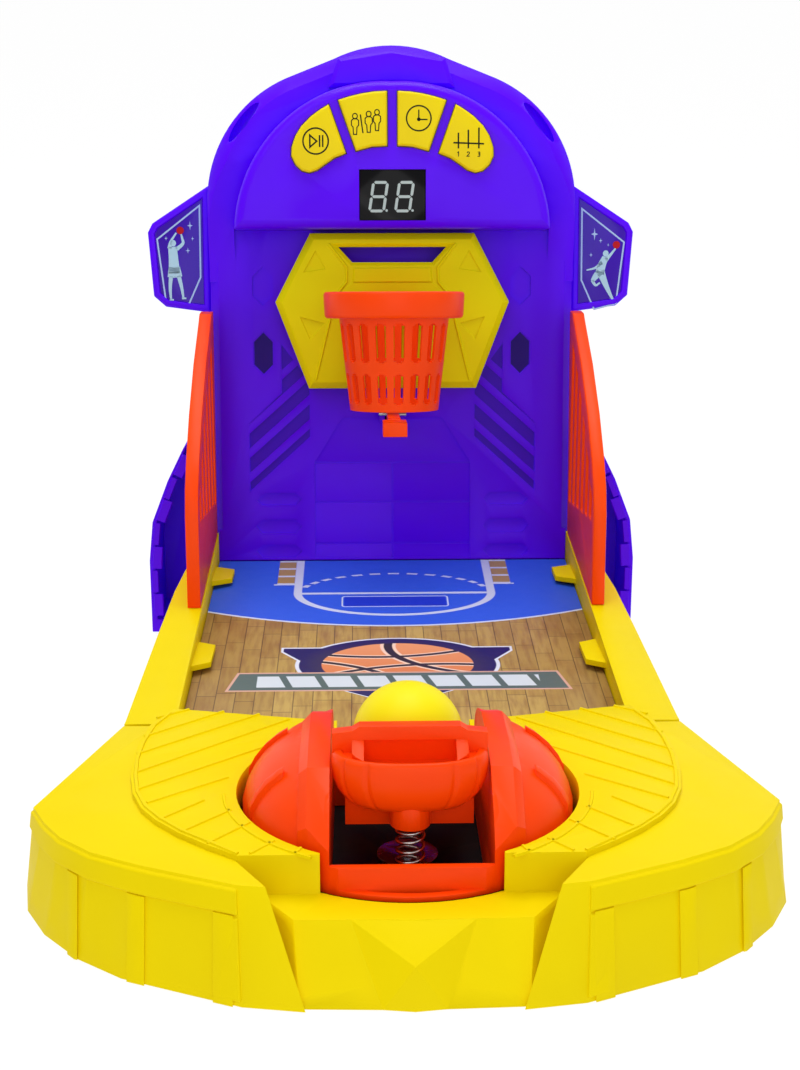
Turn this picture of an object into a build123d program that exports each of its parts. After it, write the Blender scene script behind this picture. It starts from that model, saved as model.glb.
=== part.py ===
"""A table-top basketball hoop machine, as separate pieces, in millimetres.

+X is the player's right, +Y runs from the player to the tower, +Z is up. The origin is under the middle
of the whole toy, at the height of the surface it stands on.
"""

import os
from math import cos, radians, sin, sqrt, tan

from build123d import *

# ---- overall sizes ----
FRONT_Y = -215.0          # tip of the prow
BACK_Y = 215.0            # back of the tower
GROUND = 0.6              # how far the shells stand off the table
SKIN = 2.4                # wall of the large mouldings
EASE = 0.3                # gap between pieces that are only assembled together

# ---- base ----
PLATE_Z = 38.0            # top of the launcher ring
DECK_Z = 24.0             # low deck in front of the launcher
SHOULDER_Z = 36.0         # top of the two shoulders
COURT_HALF = 90.0         # half the width between the rails
COURT_SLOPE = 4.5         # degrees, down towards the player
COURT_THICK = 1.2
RAIL_SLOPE = 6.2
RAIL_BACK_Z = 58.2        # rail top at the wall
FOOT_R = 8.0
FOOT_H = 2.6
COVER_Z = 1.8             # underside of the bottom cover
COVER_THICK = 2.2

# ---- launcher ----
TURN_Y = -128.0           # turntable axis
HOLE_R = 60.8             # hole in the ring plate
DOME_R = 58.6             # turntable radius
SLOT_HALF = 27.0          # half the width of the lever's slot
FRONT_GAP_HALF = 30.0     # half the opening at the front of the ring
BACK_GAP_HALF = 26.0      # half the ball channel at the back of the ring
BALL_R = 19.5
BALL_Y = -129.5
BALL_Z = 57.5
AXLE_Y = -90.0            # lever pivot
AXLE_Z = 30.0
AXLE_R = 1.5
PAD_Y = -158.0            # middle of the finger pad
TRAY_Z = 6.4              # underside of the turntable tray
SPRING_R = 5.2

# ---- tower ----
WALL_Y = 145.0            # foot of the wall, where it meets the court
WALL_Z = 43.9
LEAN = 6.6                # degrees that the tower leans back
TOWER_HALF = 92.0
TOWER_SPLIT = -22.0       # plane between the front and back shells
HOOD_DEPTH = 28.0         # how far the console stands out of the wall
CASING_DEPTH = 12.0       # how far the rim around the console stands out
HOOD_FOOT = 168.3         # height of the console's lower edge up the wall
BOARD_DEPTH = 16.0        # backboard face, out of the wall
NET_THICK = 6.0

# ---- hoop ----
RIM_R = 33.2
RIM_H = 12.4
RIM_TOP = 137.6           # height up the wall
BASKET_TOP_R = 27.4
BASKET_LOW_R = 21.1
BASKET_LOW = 81.6
BASKET_WALL = 1.2
HOOP_OUT = 53.0           # hoop axis, out of the wall
SCORE_W = 6.0             # pin of the scoring lever, out of the wall

lean = radians(LEAN)
WALL = Plane(origin=(0, WALL_Y, WALL_Z), x_dir=(1, 0, 0), z_dir=(0, -cos(lean), sin(lean)))


# ---- helpers ----
def block(x0, x1, y0, y1, z0, z1):
    """A box from its limits."""
    return Pos((x0 + x1) / 2, (y0 + y1) / 2, (z0 + z1) / 2) * Box(x1 - x0, y1 - y0, z1 - z0)


def rod(x, y, z0, z1, r):
    """An upright cylinder."""
    return Pos(x, y, (z0 + z1) / 2) * Cylinder(r, z1 - z0)


def face_of(points):
    """A flat face from its corners."""
    return make_face(Polyline(*points, close=True))


def prism(points, z0, z1):
    """An upright prism over a plan outline."""
    return Pos(0, 0, z0) * extrude(face_of(points), z1 - z0)


def frustum(low, z0, high, z1):
    """A solid with straight sides between two outlines of as many corners."""
    return loft([Pos(0, 0, z0) * face_of(low), Pos(0, 0, z1) * face_of(high)], ruled=True)


def side_prism(points, x0, x1):
    """A prism along X over a side outline given as (y, z) corners."""
    plane = Plane(origin=(x0, 0, 0), x_dir=(0, 1, 0), z_dir=(1, 0, 0))
    return extrude(plane * face_of(points), x1 - x0)


def flipped(points):
    """An outline mirrored left to right, in the order that keeps it anticlockwise."""
    return [(-x, y) for x, y in reversed(points)]


def both(shape):
    """A shape and its mirror image, left and right."""
    return shape + mirror(shape, about=Plane.YZ)


def inset(points, gap):
    """An anticlockwise outline moved inwards by gap, corner by corner."""
    moved = []
    count = len(points)
    for i in range(count):
        a, b, c = points[i - 1], points[i], points[(i + 1) % count]
        d1 = Vector(b[0] - a[0], b[1] - a[1]).normalized()
        d2 = Vector(c[0] - b[0], c[1] - b[1]).normalized()
        n1, n2 = Vector(-d1.Y, d1.X), Vector(-d2.Y, d2.X)
        mid = (n1 + n2) * (gap / (1 + n1.dot(n2)))
        moved.append((b[0] + mid.X, b[1] + mid.Y))
    return moved


def on_wall(shape):
    """Places a shape modelled as (across, up the wall, out of the wall)."""
    return WALL.location * shape


def court_z(y):
    """Height of the court's top face."""
    return WALL_Z - (WALL_Y - y) * tan(radians(COURT_SLOPE))


def rail_z(y):
    """Height of the rail's top face."""
    return max(SHOULDER_Z, RAIL_BACK_Z - (WALL_Y - y) * tan(radians(RAIL_SLOPE)))


# ---- base ----
BASE_BACK = WALL_Y + 2.2
SHOULDER_LOW = [(34, FRONT_Y + 0.6), (54, -211), (72, -203), (94, -193), (110, -180.5), (124, -164),
                (133, -147), (137, -128), (114, -62), (56, -62), (56, -168)]
SHOULDER_TOP = [(46.5, -200), (55.5, -198.5), (69, -192.5), (87, -184.5), (105, -174.5), (117, -163),
                (124.5, -151.5), (130.5, -139), (110, -64), (62, -64), (60, -177)]
APRON_LOW = [(-36, -212.6), (-10, -213.6), (0, FRONT_Y), (10, -213.6), (36, -212.6), (56, -176), (-56, -176)]
APRON_TOP = [(-38, -199), (-11, -199.4), (0, -199.6), (11, -199.4), (38, -199), (54, -176), (-54, -176)]
RING_SIDE = [(56.5, -182), (67.3, -173.6), (78, -163.9), (86.5, -154), (92.5, -144.4), (97, -132.2), (99.8, -117.2),
             (101.2, -101.7), (101, -85.4), (99, -68.2), (91.9, -50.5)]
RING_OUT = RING_SIDE + [(29, -65), (-29, -65)] + [(-x, y) for x, y in reversed(RING_SIDE)]
RAIL_OUT = [(COURT_HALF, -62), (110, -62), (106.5, 28), (104.5, 71), (101.5, 103), (101.5, BASE_BACK),
            (COURT_HALF, BASE_BACK)]


def shoulder(gap, z0, z1):
    """One shoulder: straight flared sides between the table outline and the top outline."""
    return frustum(inset(SHOULDER_LOW, gap), z0, inset(SHOULDER_TOP, gap), z1)


def rail(gap, drop):
    """One rail: its plan outline under its sloping top."""
    knee = WALL_Y - (RAIL_BACK_Z - SHOULDER_Z) / tan(radians(RAIL_SLOPE))
    top = [(-62, -1), (-62, SHOULDER_Z - drop), (knee, SHOULDER_Z - drop),
           (BASE_BACK, rail_z(BASE_BACK) - drop), (BASE_BACK, -1)]
    return prism(inset(RAIL_OUT, gap), GROUND, 80) & side_prism(top, 80, 120)


def skirt_ribs():
    """Upright ribs that stand on the flared front of each shoulder."""
    ribs = []
    for x, y, wide in ((60, -206, 6.5), (89, -193.4, 6.0), (112, -176, 4.0)):
        half = wide / 2
        foot = [(x - half, y - 5), (x + half, y - 3.4), (x + half, y + 12), (x - half, y + 12)]
        ribs.append(foot)
    return ribs


def base_shell():
    """The wide yellow base: ring plate, deck, shoulders, rails, flared skirts and prow, open underneath."""
    solid = both(shoulder(0, GROUND, SHOULDER_Z))
    solid += frustum(APRON_LOW, GROUND, APRON_TOP, DECK_Z) + prow()
    solid += prism(RING_OUT, GROUND, PLATE_Z)
    solid += both(rail(0, 0))
    floor = [(-66, GROUND), (BASE_BACK, GROUND), (BASE_BACK, court_z(BASE_BACK) - COURT_THICK - EASE),
             (-66, court_z(-66) - COURT_THICK - EASE)]
    solid += side_prism(floor, -COURT_HALF - 1, COURT_HALF + 1)
    # hollow underneath, leaving the outer wall, the top skin and a few natural ribs
    solid -= both(shoulder(SKIN, -1, SHOULDER_Z - SKIN))
    solid -= frustum(inset(APRON_LOW, SKIN), -1, inset(APRON_TOP, SKIN), DECK_Z - SKIN)
    solid -= both(rail(SKIN, SKIN))
    # room for the bottom cover inside the skirt
    solid -= prism(inset(base_plan(), SKIN + 1.2), -1, COVER_Z + COVER_THICK + 0.2)
    solid -= block(-BACK_GAP_HALF, BACK_GAP_HALF, -74, -60, -1, court_z(-66) - COURT_THICK - EASE - SKIN)
    court_room = [(-62, -1), (BASE_BACK - SKIN, -1),
                  (BASE_BACK - SKIN, court_z(BASE_BACK) - COURT_THICK - EASE - SKIN),
                  (-62, court_z(-62) - COURT_THICK - EASE - SKIN)]
    solid -= side_prism(court_room, -COURT_HALF + 1, COURT_HALF - 1)
    solid -= prism(inset(RING_OUT, SKIN), -1, PLATE_Z - SKIN - 0.6)
    # the rim of the launcher's hole hangs down to the deck
    solid += (rod(0, TURN_Y, DECK_Z - SKIN, PLATE_Z, HOLE_R + SKIN) - rod(0, TURN_Y, 0, 60, HOLE_R)) & \
        prism(RING_OUT, 0, PLATE_Z)
    solid -= rod(0, TURN_Y, -1, 60, HOLE_R)
    solid -= block(-FRONT_GAP_HALF, FRONT_GAP_HALF, -190, TURN_Y, DECK_Z, 60)
    bed = COURT_THICK + EASE
    channel = [(TURN_Y, court_z(TURN_Y) - bed), (-58, court_z(-58) - bed), (-58, 60), (TURN_Y, 60)]
    solid -= side_prism(channel, -BACK_GAP_HALF, BACK_GAP_HALF)
    solid += both(court_tabs())
    for foot in skirt_ribs():
        rib = prism(foot, GROUND, 27) & frustum(inset(SHOULDER_LOW, -0.9), GROUND, inset(SHOULDER_TOP, -0.9),
                                                SHOULDER_Z)
        rib -= shoulder(0.4, -1, SHOULDER_Z)
        solid += both(rib)
    for x, y in BOSSES:
        solid += both(rod(x, y, COVER_Z + COVER_THICK + 0.2, boss_top(y), 4.0) - rod(x, y, 0, 16, 1.3))
    return solid


def prow():
    """The pointed nose: a lip that slopes from the deck to a point, over two front facets."""
    tip = (0, -213.2, 15)
    lip = [(-20, -199.2, DECK_Z), (20, -199.2, DECK_Z), (20, -190, DECK_Z), (-20, -190, DECK_Z)]
    low = [(-34, -212.6, GROUND), (-10, -213.6, GROUND), (0, FRONT_Y, GROUND), (10, -213.6, GROUND),
           (34, -212.6, GROUND), (34, -190, GROUND), (-34, -190, GROUND)]
    sides = [(lip[0], lip[1], tip), lip, low, (lip[0], low[0], low[1]), (lip[0], low[1], tip),
             (lip[1], low[3], low[4]), (lip[1], tip, low[3]), (tip, low[1], low[2]), (tip, low[2], low[3]),
             (lip[0], lip[3], low[6], low[0]), (lip[1], lip[2], low[5], low[4]), (lip[2], lip[3], low[6], low[5])]
    return Solid(Shell([Face(Wire.make_polygon(side, close=True)) for side in sides]))


BOSSES = ((112, -150), (80, -178), (84, 30), (84, 130))


def boss_top(y):
    """How high a screw boss reaches to meet the skin above it."""
    return SHOULDER_Z - 1.5 if y < 0 else court_z(y) - COURT_THICK - EASE - SKIN + 0.5


def court_tabs():
    """Two lips on the rail that hold the court board down."""
    tabs = []
    for y0, y1, reach in ((104, 129, 9.5), (1, 33, 8.0)):
        z = court_z(y1) + 0.25
        plan = [(COURT_HALF + 1, y0 - 1), (COURT_HALF + 1, y1 + 1), (COURT_HALF - reach, y1 - 4),
                (COURT_HALF - reach, y0 + 5)]
        tabs.append(prism(plan[::-1], z, z + 2.4))
    return tabs[0] + tabs[1]


def base_bottom_cover():
    """The flat cover that closes the base from below."""
    plan = inset([(p[0], p[1]) for p in base_plan()], SKIN + 1.4)
    cover = prism(plan, COVER_Z, COVER_Z + COVER_THICK)
    cover += rod(0, TURN_Y, COVER_Z, TRAY_Z - 0.2, 14)
    cover += rod(0, TURN_Y, COVER_Z, TRAY_Z + 4.4, 6.9)
    cover -= rod(0, TURN_Y, COVER_Z + 1, 30, 1.3)
    for x, y in BOSSES:
        cover -= both(rod(x, y, 0, 10, 1.7) + rod(x, y, 0, COVER_Z + 1.2, 3.2))
    for x, y in FEET:
        cover -= both(rod(x, y, 0, COVER_Z + 0.8, FOOT_R + 0.1))
    return cover


def base_plan():
    """The outline of the base on the table."""
    right = [(0, FRONT_Y), (10, -213.6), (34, -213.6)] + SHOULDER_LOW[1:9] + \
        [(106.5, 28), (104.5, 71), (101.5, 103), (101.5, BASE_BACK)]
    return right + [(-x, y) for x, y in reversed(right) if x > 0]


FEET = ((104, -160), (46, -194), (90, 60))


def rubber_feet():
    """Round rubber feet under the bottom cover."""
    feet = [rod(x, y, 0, COVER_Z + 0.8, FOOT_R) for x, y in FEET]
    return [s for foot in feet for s in (foot, mirror(foot, about=Plane.YZ))]


def base_screws():
    """Screws that hold the bottom cover to the base."""
    screw = []
    for x, y in BOSSES:
        one = rod(x, y, COVER_Z - 0.8, COVER_Z + 1.2, 2.9) + rod(x, y, COVER_Z + 1.2, COVER_Z + 11, 1.3)
        one -= block(x - 1.6, x + 1.6, y - 0.3, y + 0.3, 0, COVER_Z)
        one -= block(x - 0.3, x + 0.3, y - 1.6, y + 1.6, 0, COVER_Z)
        screw += [one, mirror(one, about=Plane.YZ)]
    return screw


def court_board():
    """The printed court, a thin sloping board between the rails."""
    half = COURT_HALF - EASE
    plan = [(half, BASE_BACK - SKIN), (-half, BASE_BACK - SKIN), (-half, -49.4), (-29, -64.4),
            (-BACK_GAP_HALF + EASE, -64.4), (-BACK_GAP_HALF + EASE, -72), (BACK_GAP_HALF - EASE, -72),
            (BACK_GAP_HALF - EASE, -64.4), (29, -64.4), (half, -49.4)]
    plan = [(x, min(y, WALL_Y - EASE)) for x, y in plan]
    sheet = side_prism([(-80, court_z(-80) - COURT_THICK), (150, court_z(150) - COURT_THICK),
                        (150, court_z(150)), (-80, court_z(-80))], -half, half)
    return (sheet & prism(plan, 0, 60)) - rod(0, TURN_Y, 0, 60, HOLE_R + 0.4)


# ---- launcher ----
LEVER_PLATE_Z = 36.6      # top of the ball plate
CHEEK_OUT = 37.5


def dome_skin(gap):
    """The low dome of the turntable, turned about its axis."""
    r = DOME_R - gap
    plane = Plane(origin=(0, TURN_Y, 0), x_dir=(1, 0, 0), z_dir=(0, -1, 0))
    side = [(57.4, 38.8), (55.2, 43.2), (52, 47.4), (47.8, 51.2), (42.6, 54.5), (36.6, 57.2)]
    crown = [(0, DECK_Z - 1), (r, DECK_Z - 1), (r, 34.5 - gap)]
    crown += [(x - gap, z - gap) for x, z in side] + [(29.8, 59 - gap), (0, 60 - gap)]
    return revolve(plane * face_of(crown), axis=Axis((0, TURN_Y, 0), (0, 0, 1)))


def cheek(x0, x1, drop):
    """A raised side of the slot, low at the front and back and highest beside the pad."""
    outline = [(TURN_Y - 54, DECK_Z), (TURN_Y + 48, DECK_Z), (TURN_Y + 48, 38 - drop),
               (TURN_Y + 32, 54 - drop), (TURN_Y + 14, 60.4 - drop), (TURN_Y - 14, 60.8 - drop), (TURN_Y - 30, 58 - drop),
               (TURN_Y - 48, 43.6 - drop), (TURN_Y - 54, 35 - drop)]
    return side_prism(outline, x0, x1)


def turntable_dome():
    """The turning dome, cut by the slot the lever works in."""
    dome = dome_skin(0) - dome_skin(SKIN)
    dome &= block(-80, 80, TURN_Y - 80, TURN_Y + 80, DECK_Z - 1, 70)
    outer = cheek(SLOT_HALF, CHEEK_OUT, 0)
    outer = chamfer(outer.edges().filter_by(Axis.X, reverse=True).group_by(Axis.X)[-1], 3.0)
    hollow = cheek(SLOT_HALF + SKIN, CHEEK_OUT - SKIN, SKIN)
    wall = side_prism([(TURN_Y - 53, TRAY_Z + 2.6), (TURN_Y + 50, TRAY_Z + 2.6), (TURN_Y + 50, 33),
                       (TURN_Y - 53, 33)], SLOT_HALF, SLOT_HALF + SKIN)
    wall &= rod(0, TURN_Y, 0, 70, DOME_R - 2.6)
    dome -= block(-SLOT_HALF, SLOT_HALF, TURN_Y - 80, TURN_Y + 80, 0, 80)
    dome += both(outer & rod(0, TURN_Y, 0, 90, DOME_R)) + both(wall)
    dome -= both(hollow & rod(0, TURN_Y, 0, 90, DOME_R - SKIN))
    # raised bars on the outside of the dome
    for y in (TURN_Y - 20, TURN_Y + 14):
        bar = block(43, 60, y - 1.6, y + 1.6, 20, 60)
        dome += both(bar & (dome_skin(-1.1) - dome_skin(0.6)) & rod(0, TURN_Y, 20, 60, DOME_R))
    # crossbar at the front of the slot, and a low sill at the back
    bar = block(-SLOT_HALF - 1.2, SLOT_HALF + 1.2, TURN_Y - 53.4, TURN_Y - 50.4, TRAY_Z + 2.6, 32.6)
    bar += block(-SLOT_HALF - 1.2, SLOT_HALF + 1.2, TURN_Y + 47, TURN_Y + 50, TRAY_Z + 2.6, 26.5)
    bar &= rod(0, TURN_Y, 0, DECK_Z - 1.1, DOME_R - 2.8) + rod(0, TURN_Y, DECK_Z - 1.1, 60, DOME_R)
    flange = rod(0, TURN_Y, DECK_Z - 1, DECK_Z + 0.8, DOME_R) - rod(0, TURN_Y, 0, 60, DOME_R - 3)
    dome += bar + (flange & block(-29, 29, TURN_Y - 80, TURN_Y - 50.4, 0, 60))
    for x in (-1, 1):
        boss = Pos(x * 31.4, AXLE_Y, AXLE_Z) * Rot(0, 90, 0) * Cylinder(4.4, 4.6)
        dome += boss
    dome -= Pos(0, AXLE_Y, AXLE_Z) * Rot(0, 90, 0) * Cylinder(AXLE_R, 67.4)
    for x, y in TRAY_SCREWS:
        dome += both(rod(x, y, TRAY_Z + 2.6, 36, 3.6) - rod(x, y, 0, 18, 1.2))
    return dome


TRAY_SCREWS = ((41, TURN_Y - 20), (41, TURN_Y + 20))


def turntable_base():
    """The tray that closes the dome from below and turns on the base."""
    tray = rod(0, TURN_Y, TRAY_Z, TRAY_Z + 2.4, DOME_R - 2)
    tray += rod(0, TURN_Y, TRAY_Z, DECK_Z - 1.2, DOME_R - 0.4) - rod(0, TURN_Y, 0, 40, DOME_R - 2.4)
    tray -= rod(0, TURN_Y, 0, 40, 7.0)
    tray += rod(0, PAD_Y, TRAY_Z, TRAY_Z + 6, SPRING_R - 1.2)
    for x, y in TRAY_SCREWS:
        tray -= both(rod(x, y, 0, 40, 1.6))
    return tray


def tray_screws():
    """Screws that hold the tray to the dome."""
    one = [rod(x, y, TRAY_Z - 1.6, TRAY_Z, 2.8) + rod(x, y, TRAY_Z, 16, 1.2) for x, y in TRAY_SCREWS]
    return one + [mirror(s, about=Plane.YZ) for s in one]


def turntable_washer():
    """The washer under the turntable screw."""
    top = TRAY_Z + 4.4
    return rod(0, TURN_Y, top, top + 1.2, 11) - rod(0, TURN_Y, 0, 40, 1.6)


def turntable_screw():
    """The screw the turntable turns on."""
    top = TRAY_Z + 5.6
    screw = rod(0, TURN_Y, top, top + 2, 3.2) + rod(0, TURN_Y, COVER_Z + 1.4, top, 1.3)
    return screw - block(-2, 2, TURN_Y - 0.4, TURN_Y + 0.4, top + 1.1, top + 3)


PAD_PLAN = [(-26.2, -149), (-26.2, -151.5), (-18.3, -161), (-9.2, -167.5), (9.2, -167.5), (18.3, -161),
            (26.2, -151.5), (26.2, -149)]


PAD_LOW = [(-24.6, -149), (-24.6, -150.4), (-17.4, -159), (-8.8, -165.2), (8.8, -165.2), (17.4, -159),
           (24.6, -150.4), (24.6, -149)]
PAD_SOLE = [(-19.5, -149), (-19.5, -150), (-14, -156.5), (-7.6, -161), (7.6, -161), (14, -156.5),
            (19.5, -150), (19.5, -149)]


def launch_lever():
    """The finger lever: bowl and bar in front, a ball seat in the middle, a pivot barrel behind."""
    pad = frustum(PAD_SOLE, 43.6, PAD_LOW, 48.5) + frustum(PAD_LOW, 48.5, PAD_PLAN, 54.5)
    pad += prism(PAD_PLAN, 54.5, 61.6)
    bar = [(-26.2, 61), (26.2, 61), (26.2, 68.4), (19.5, 69.2), (17, 70.8), (-17, 70.8), (-19.5, 69.2),
           (-26.2, 68.4)]
    plane = Plane(origin=(0, -149, 0), x_dir=(1, 0, 0), z_dir=(0, -1, 0))
    pad += extrude(plane * face_of(bar), 5.0)
    brow = [(-165.5, 61), (-152, 61), (-152, 66), (-154, 66)]
    pad += side_prism(brow, -19.5, 19.5) & prism(PAD_PLAN, 50, 70)
    # the finger's hollow under the bar, and grooves down the front of the bowl
    pad -= block(-15.5, 15.5, -164.8, -151.8, 54, 66)
    for x in (-18.2, -9.1, 9.1, 18.2):
        front = -161.6 if abs(x) > 10 else -168
        pad -= block(x - 0.5, x + 0.5, front, front + 1.3, 44, 62)
    # behind the pad: a web down to the ball plate, the seat ring and the pivot barrel
    pad += block(-22, 22, -151.5, -149.1, LEVER_PLATE_Z - 2.4, 62)
    pad += block(-22, 22, -151.5, AXLE_Y, LEVER_PLATE_Z - 2.4, LEVER_PLATE_Z)
    pad += block(-22, 22, AXLE_Y - 4, AXLE_Y + 1, AXLE_Z, LEVER_PLATE_Z)
    pad += Pos(0, AXLE_Y, AXLE_Z) * Rot(0, 90, 0) * Cylinder(4.2, 2 * SLOT_HALF - 0.8)
    seat_z = BALL_Z - sqrt(BALL_R ** 2 - 10.5 ** 2) - 0.35
    pad += rod(0, BALL_Y, LEVER_PLATE_Z - 1, seat_z, 13)
    pad -= Pos(0, BALL_Y, BALL_Z) * Sphere(BALL_R + 0.3)
    pad -= rod(0, BALL_Y, 0, seat_z + 1, 8)
    pad += rod(0, PAD_Y, 37.5, 47, 6.8)
    pad -= Pos(0, AXLE_Y, AXLE_Z) * Rot(0, 90, 0) * Cylinder(AXLE_R + 0.06, 80)
    return pad


def lever_axle():
    """The pin the lever pivots on."""
    return Pos(0, AXLE_Y, AXLE_Z) * Rot(0, 90, 0) * Cylinder(AXLE_R, 67)


def launch_spring():
    """The space taken by the return spring under the finger pad."""
    return rod(0, PAD_Y, TRAY_Z + 2.6, 37.3, SPRING_R) - rod(0, PAD_Y, 0, 50, SPRING_R - 1.0)


def ball():
    """The ball."""
    return Pos(0, BALL_Y, BALL_Z) * Sphere(BALL_R)


# ---- side nets ----
def net_panel():
    """A side panel: a frame with five upright slots over a solid lower part, and two pegs in the rail."""
    panel = side_prism([(51, rail_z(51) + 0.2), (53, 90), (57, 103), (66, 115), (84, 132), (112, 152),
                        (143, 168.5), (148, 171.5), (157.6, 171.5), (145.8, 66), (145.2, rail_z(145) + 0.2)],
                       COURT_HALF + 0.4, COURT_HALF + 0.4 + NET_THICK)
    for y0, low, high in ((61, 86, 103), (75, 84, 116), (90, 82, 129), (105, 80, 140), (120, 78, 149),
                          (134, 76, 157)):
        tilt = [(y0, low), (y0 + 9, low), (y0 + 9, high), (y0, high - 5)]
        panel -= side_prism(tilt, 80, 110)
    return panel


# ---- tower ----
def tower_face(gap):
    """The outline of the tower seen along the wall's normal."""
    half = TOWER_HALF - gap
    low = -(WALL_Z - GROUND) / cos(lean)
    path = Line((-half, low - 20), (half, low - 20))
    path += Line((half, low - 20), (half, 184))
    path += ThreePointArc((half, 184), (82.5 - gap, 216 - gap * 0.4), (52 - gap * 0.5, 242.3 - gap))
    path += Line((52 - gap * 0.5, 242.3 - gap), (28.5 - gap * 0.3, 251.5 - gap))
    path += ThreePointArc((28.5 - gap * 0.3, 251.5 - gap), (0, 258 - gap), (gap * 0.3 - 28.5, 251.5 - gap))
    path += Line((gap * 0.3 - 28.5, 251.5 - gap), (gap * 0.5 - 52, 242.3 - gap))
    path += ThreePointArc((gap * 0.5 - 52, 242.3 - gap), (gap - 82.5, 216 - gap * 0.4), (-half, 184))
    path += Line((-half, 184), (-half, low - 20))
    return make_face(path)


def wall_slice(face, w0, w1):
    """A plate in the wall's frame, from w0 to w1 out of the wall."""
    return Pos(0, 0, w0) * extrude(face, w1 - w0)


def hexagon(x0, x1, v0, v1, corner):
    """An upright or level hexagon inside its limits."""
    if v1 - v0 > x1 - x0:
        mid = (x0 + x1) / 2
        low, high = v0 + corner, v1 - corner
        return [(mid, v0), (x1, low), (x1, high), (mid, v1), (x0, high), (x0, low)]
    mid = (v0 + v1) / 2
    return [(x0 + corner, v0), (x1 - corner, v0), (x1, mid), (x1 - corner, v1), (x0 + corner, v1), (x0, mid)]


def wall_relief():
    """Shallow sunk shapes in the wall between the nets."""
    sunk = []
    for v0, v1 in ((131, 150.5), (96, 118)):
        sunk.append(hexagon(60.3, 70.6, v0, v1, 5))
    for v0, v1 in ((28.8, 35.4), (14.2, 21.6), (1.6, 8.4)):
        sunk.append(hexagon(47, 70.5, v0, v1, 3.2))
    slat = [(42, 93), (42, 64), (73.5, 36), (73.5, 71), (56.5, 87), (56.5, 112)]
    sunk.append(slat)
    cut = None
    for outline in sunk:
        one = wall_slice(face_of(outline), -1.2, 1)
        cut = one if cut is None else cut + one
    slats = None
    for i in range(5):
        shift = 12.5 * i
        bar = [(40, 58 + shift), (76, 26 + shift), (76, 31 + shift), (40, 63 + shift)]
        one = wall_slice(face_of(bar), -1.3, -0.2)
        slats = one if slats is None else slats + one
    cut -= slats
    cut = both(cut)
    trapezoid = [(-25.5, 74), (-40, 51), (-40, 1.5), (40, 1.5), (40, 51), (25.5, 74)]
    cut += wall_slice(face_of(trapezoid[::-1]), -1.0, 1)
    for v in (8.9, 30.6, 51):
        cut += Pos(0, v, -0.6) * Box(80, 1.2, 2.0)
    cut += Pos(0, 26, -0.6) * Box(1.2, 50, 2.0)
    return cut


def tower_front():
    """The front half of the tower: wall, flanks and the rim around the console."""
    outer = wall_slice(tower_face(0), TOWER_SPLIT, 0)
    edge = outer.faces().sort_by(Axis.Z)[-1].edges().sort_by(Axis.Y)[1:]
    outer = chamfer(edge, 4.4)
    inner = wall_slice(tower_face(SKIN), TOWER_SPLIT - 1, -SKIN)
    shell = outer - inner - wall_relief() + casing()
    # openings behind the console and for the scoring lever
    shell -= Pos(0, 205, -1) * Box(120, 46, 8)
    shell -= Pos(0, 76.5, -1) * Box(10, 9, 8)
    for x, v in TOWER_BOSSES:
        post = Pos(x, v, (TOWER_SPLIT - 2) / 2) * Cylinder(3.6, -TOWER_SPLIT - 2)
        shell += both(post - Pos(x, v, TOWER_SPLIT) * Cylinder(1.3, 24))
    shell = on_wall(shell)
    # room for the back of the base, which plugs in under the wall
    shell -= block(-102.2, 102.2, 100, BASE_BACK + EASE, -40, rail_z(WALL_Y) + 0.6)
    shell += on_wall(Pos(0, 8.4, -SKIN / 2) * Box(2 * COURT_HALF - 0.8, 16, SKIN))
    shell -= on_wall(wall_relief())
    shell -= block(-200, 200, -300, 300, -100, GROUND)
    return shell


TOWER_BOSSES = ((80, 20), (80, 160), (40, 232))


def casing():
    """The rim that stands out around the console, down to the tops of the nets, with a crest on top."""
    rim = wall_slice(tower_face(0.02), -SKIN - 4, CASING_DEPTH) & Pos(0, 243, 0) * Box(300, 200, 60)
    front = rim.faces().sort_by(Axis.Z)[-1].edges().sort_by(Axis.Y)[1:]
    rim = chamfer(front, 7.0)
    rim -= wall_slice(console_outline(-1.2), -10, 40)
    rim -= Pos(0, 100, 0) * Box(158, 139, 80)
    crest = [(-31, 236.5), (31, 236.5), (26.2, 250.6), (0, 254.8), (-26.2, 250.6)]
    cap = wall_slice(face_of(crest), -SKIN, CASING_DEPTH + 4)
    cap = chamfer(cap.faces().sort_by(Axis.Z)[-1].edges(), 2.0)
    whole = rim + (cap - wall_slice(console_outline(-1.2), -10, 40))
    # the rim falls away to the wall below the console, and has a dimple on each shoulder
    slope = [(139, -0.4), (152, -0.4), (202, CASING_DEPTH + 0.1), (202, 40), (139, 40)]
    plane = Plane(origin=(-120, 0, 0), x_dir=(0, 1, 0), z_dir=(1, 0, 0))
    whole -= extrude(plane * face_of(slope), 240)
    dimple = Pos(72.5, 219.5, 7.6) * Rot(0, 0, 36) * scale(Sphere(1), by=(4.2, 13, 4.6))
    return whole - both(dimple)


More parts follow.
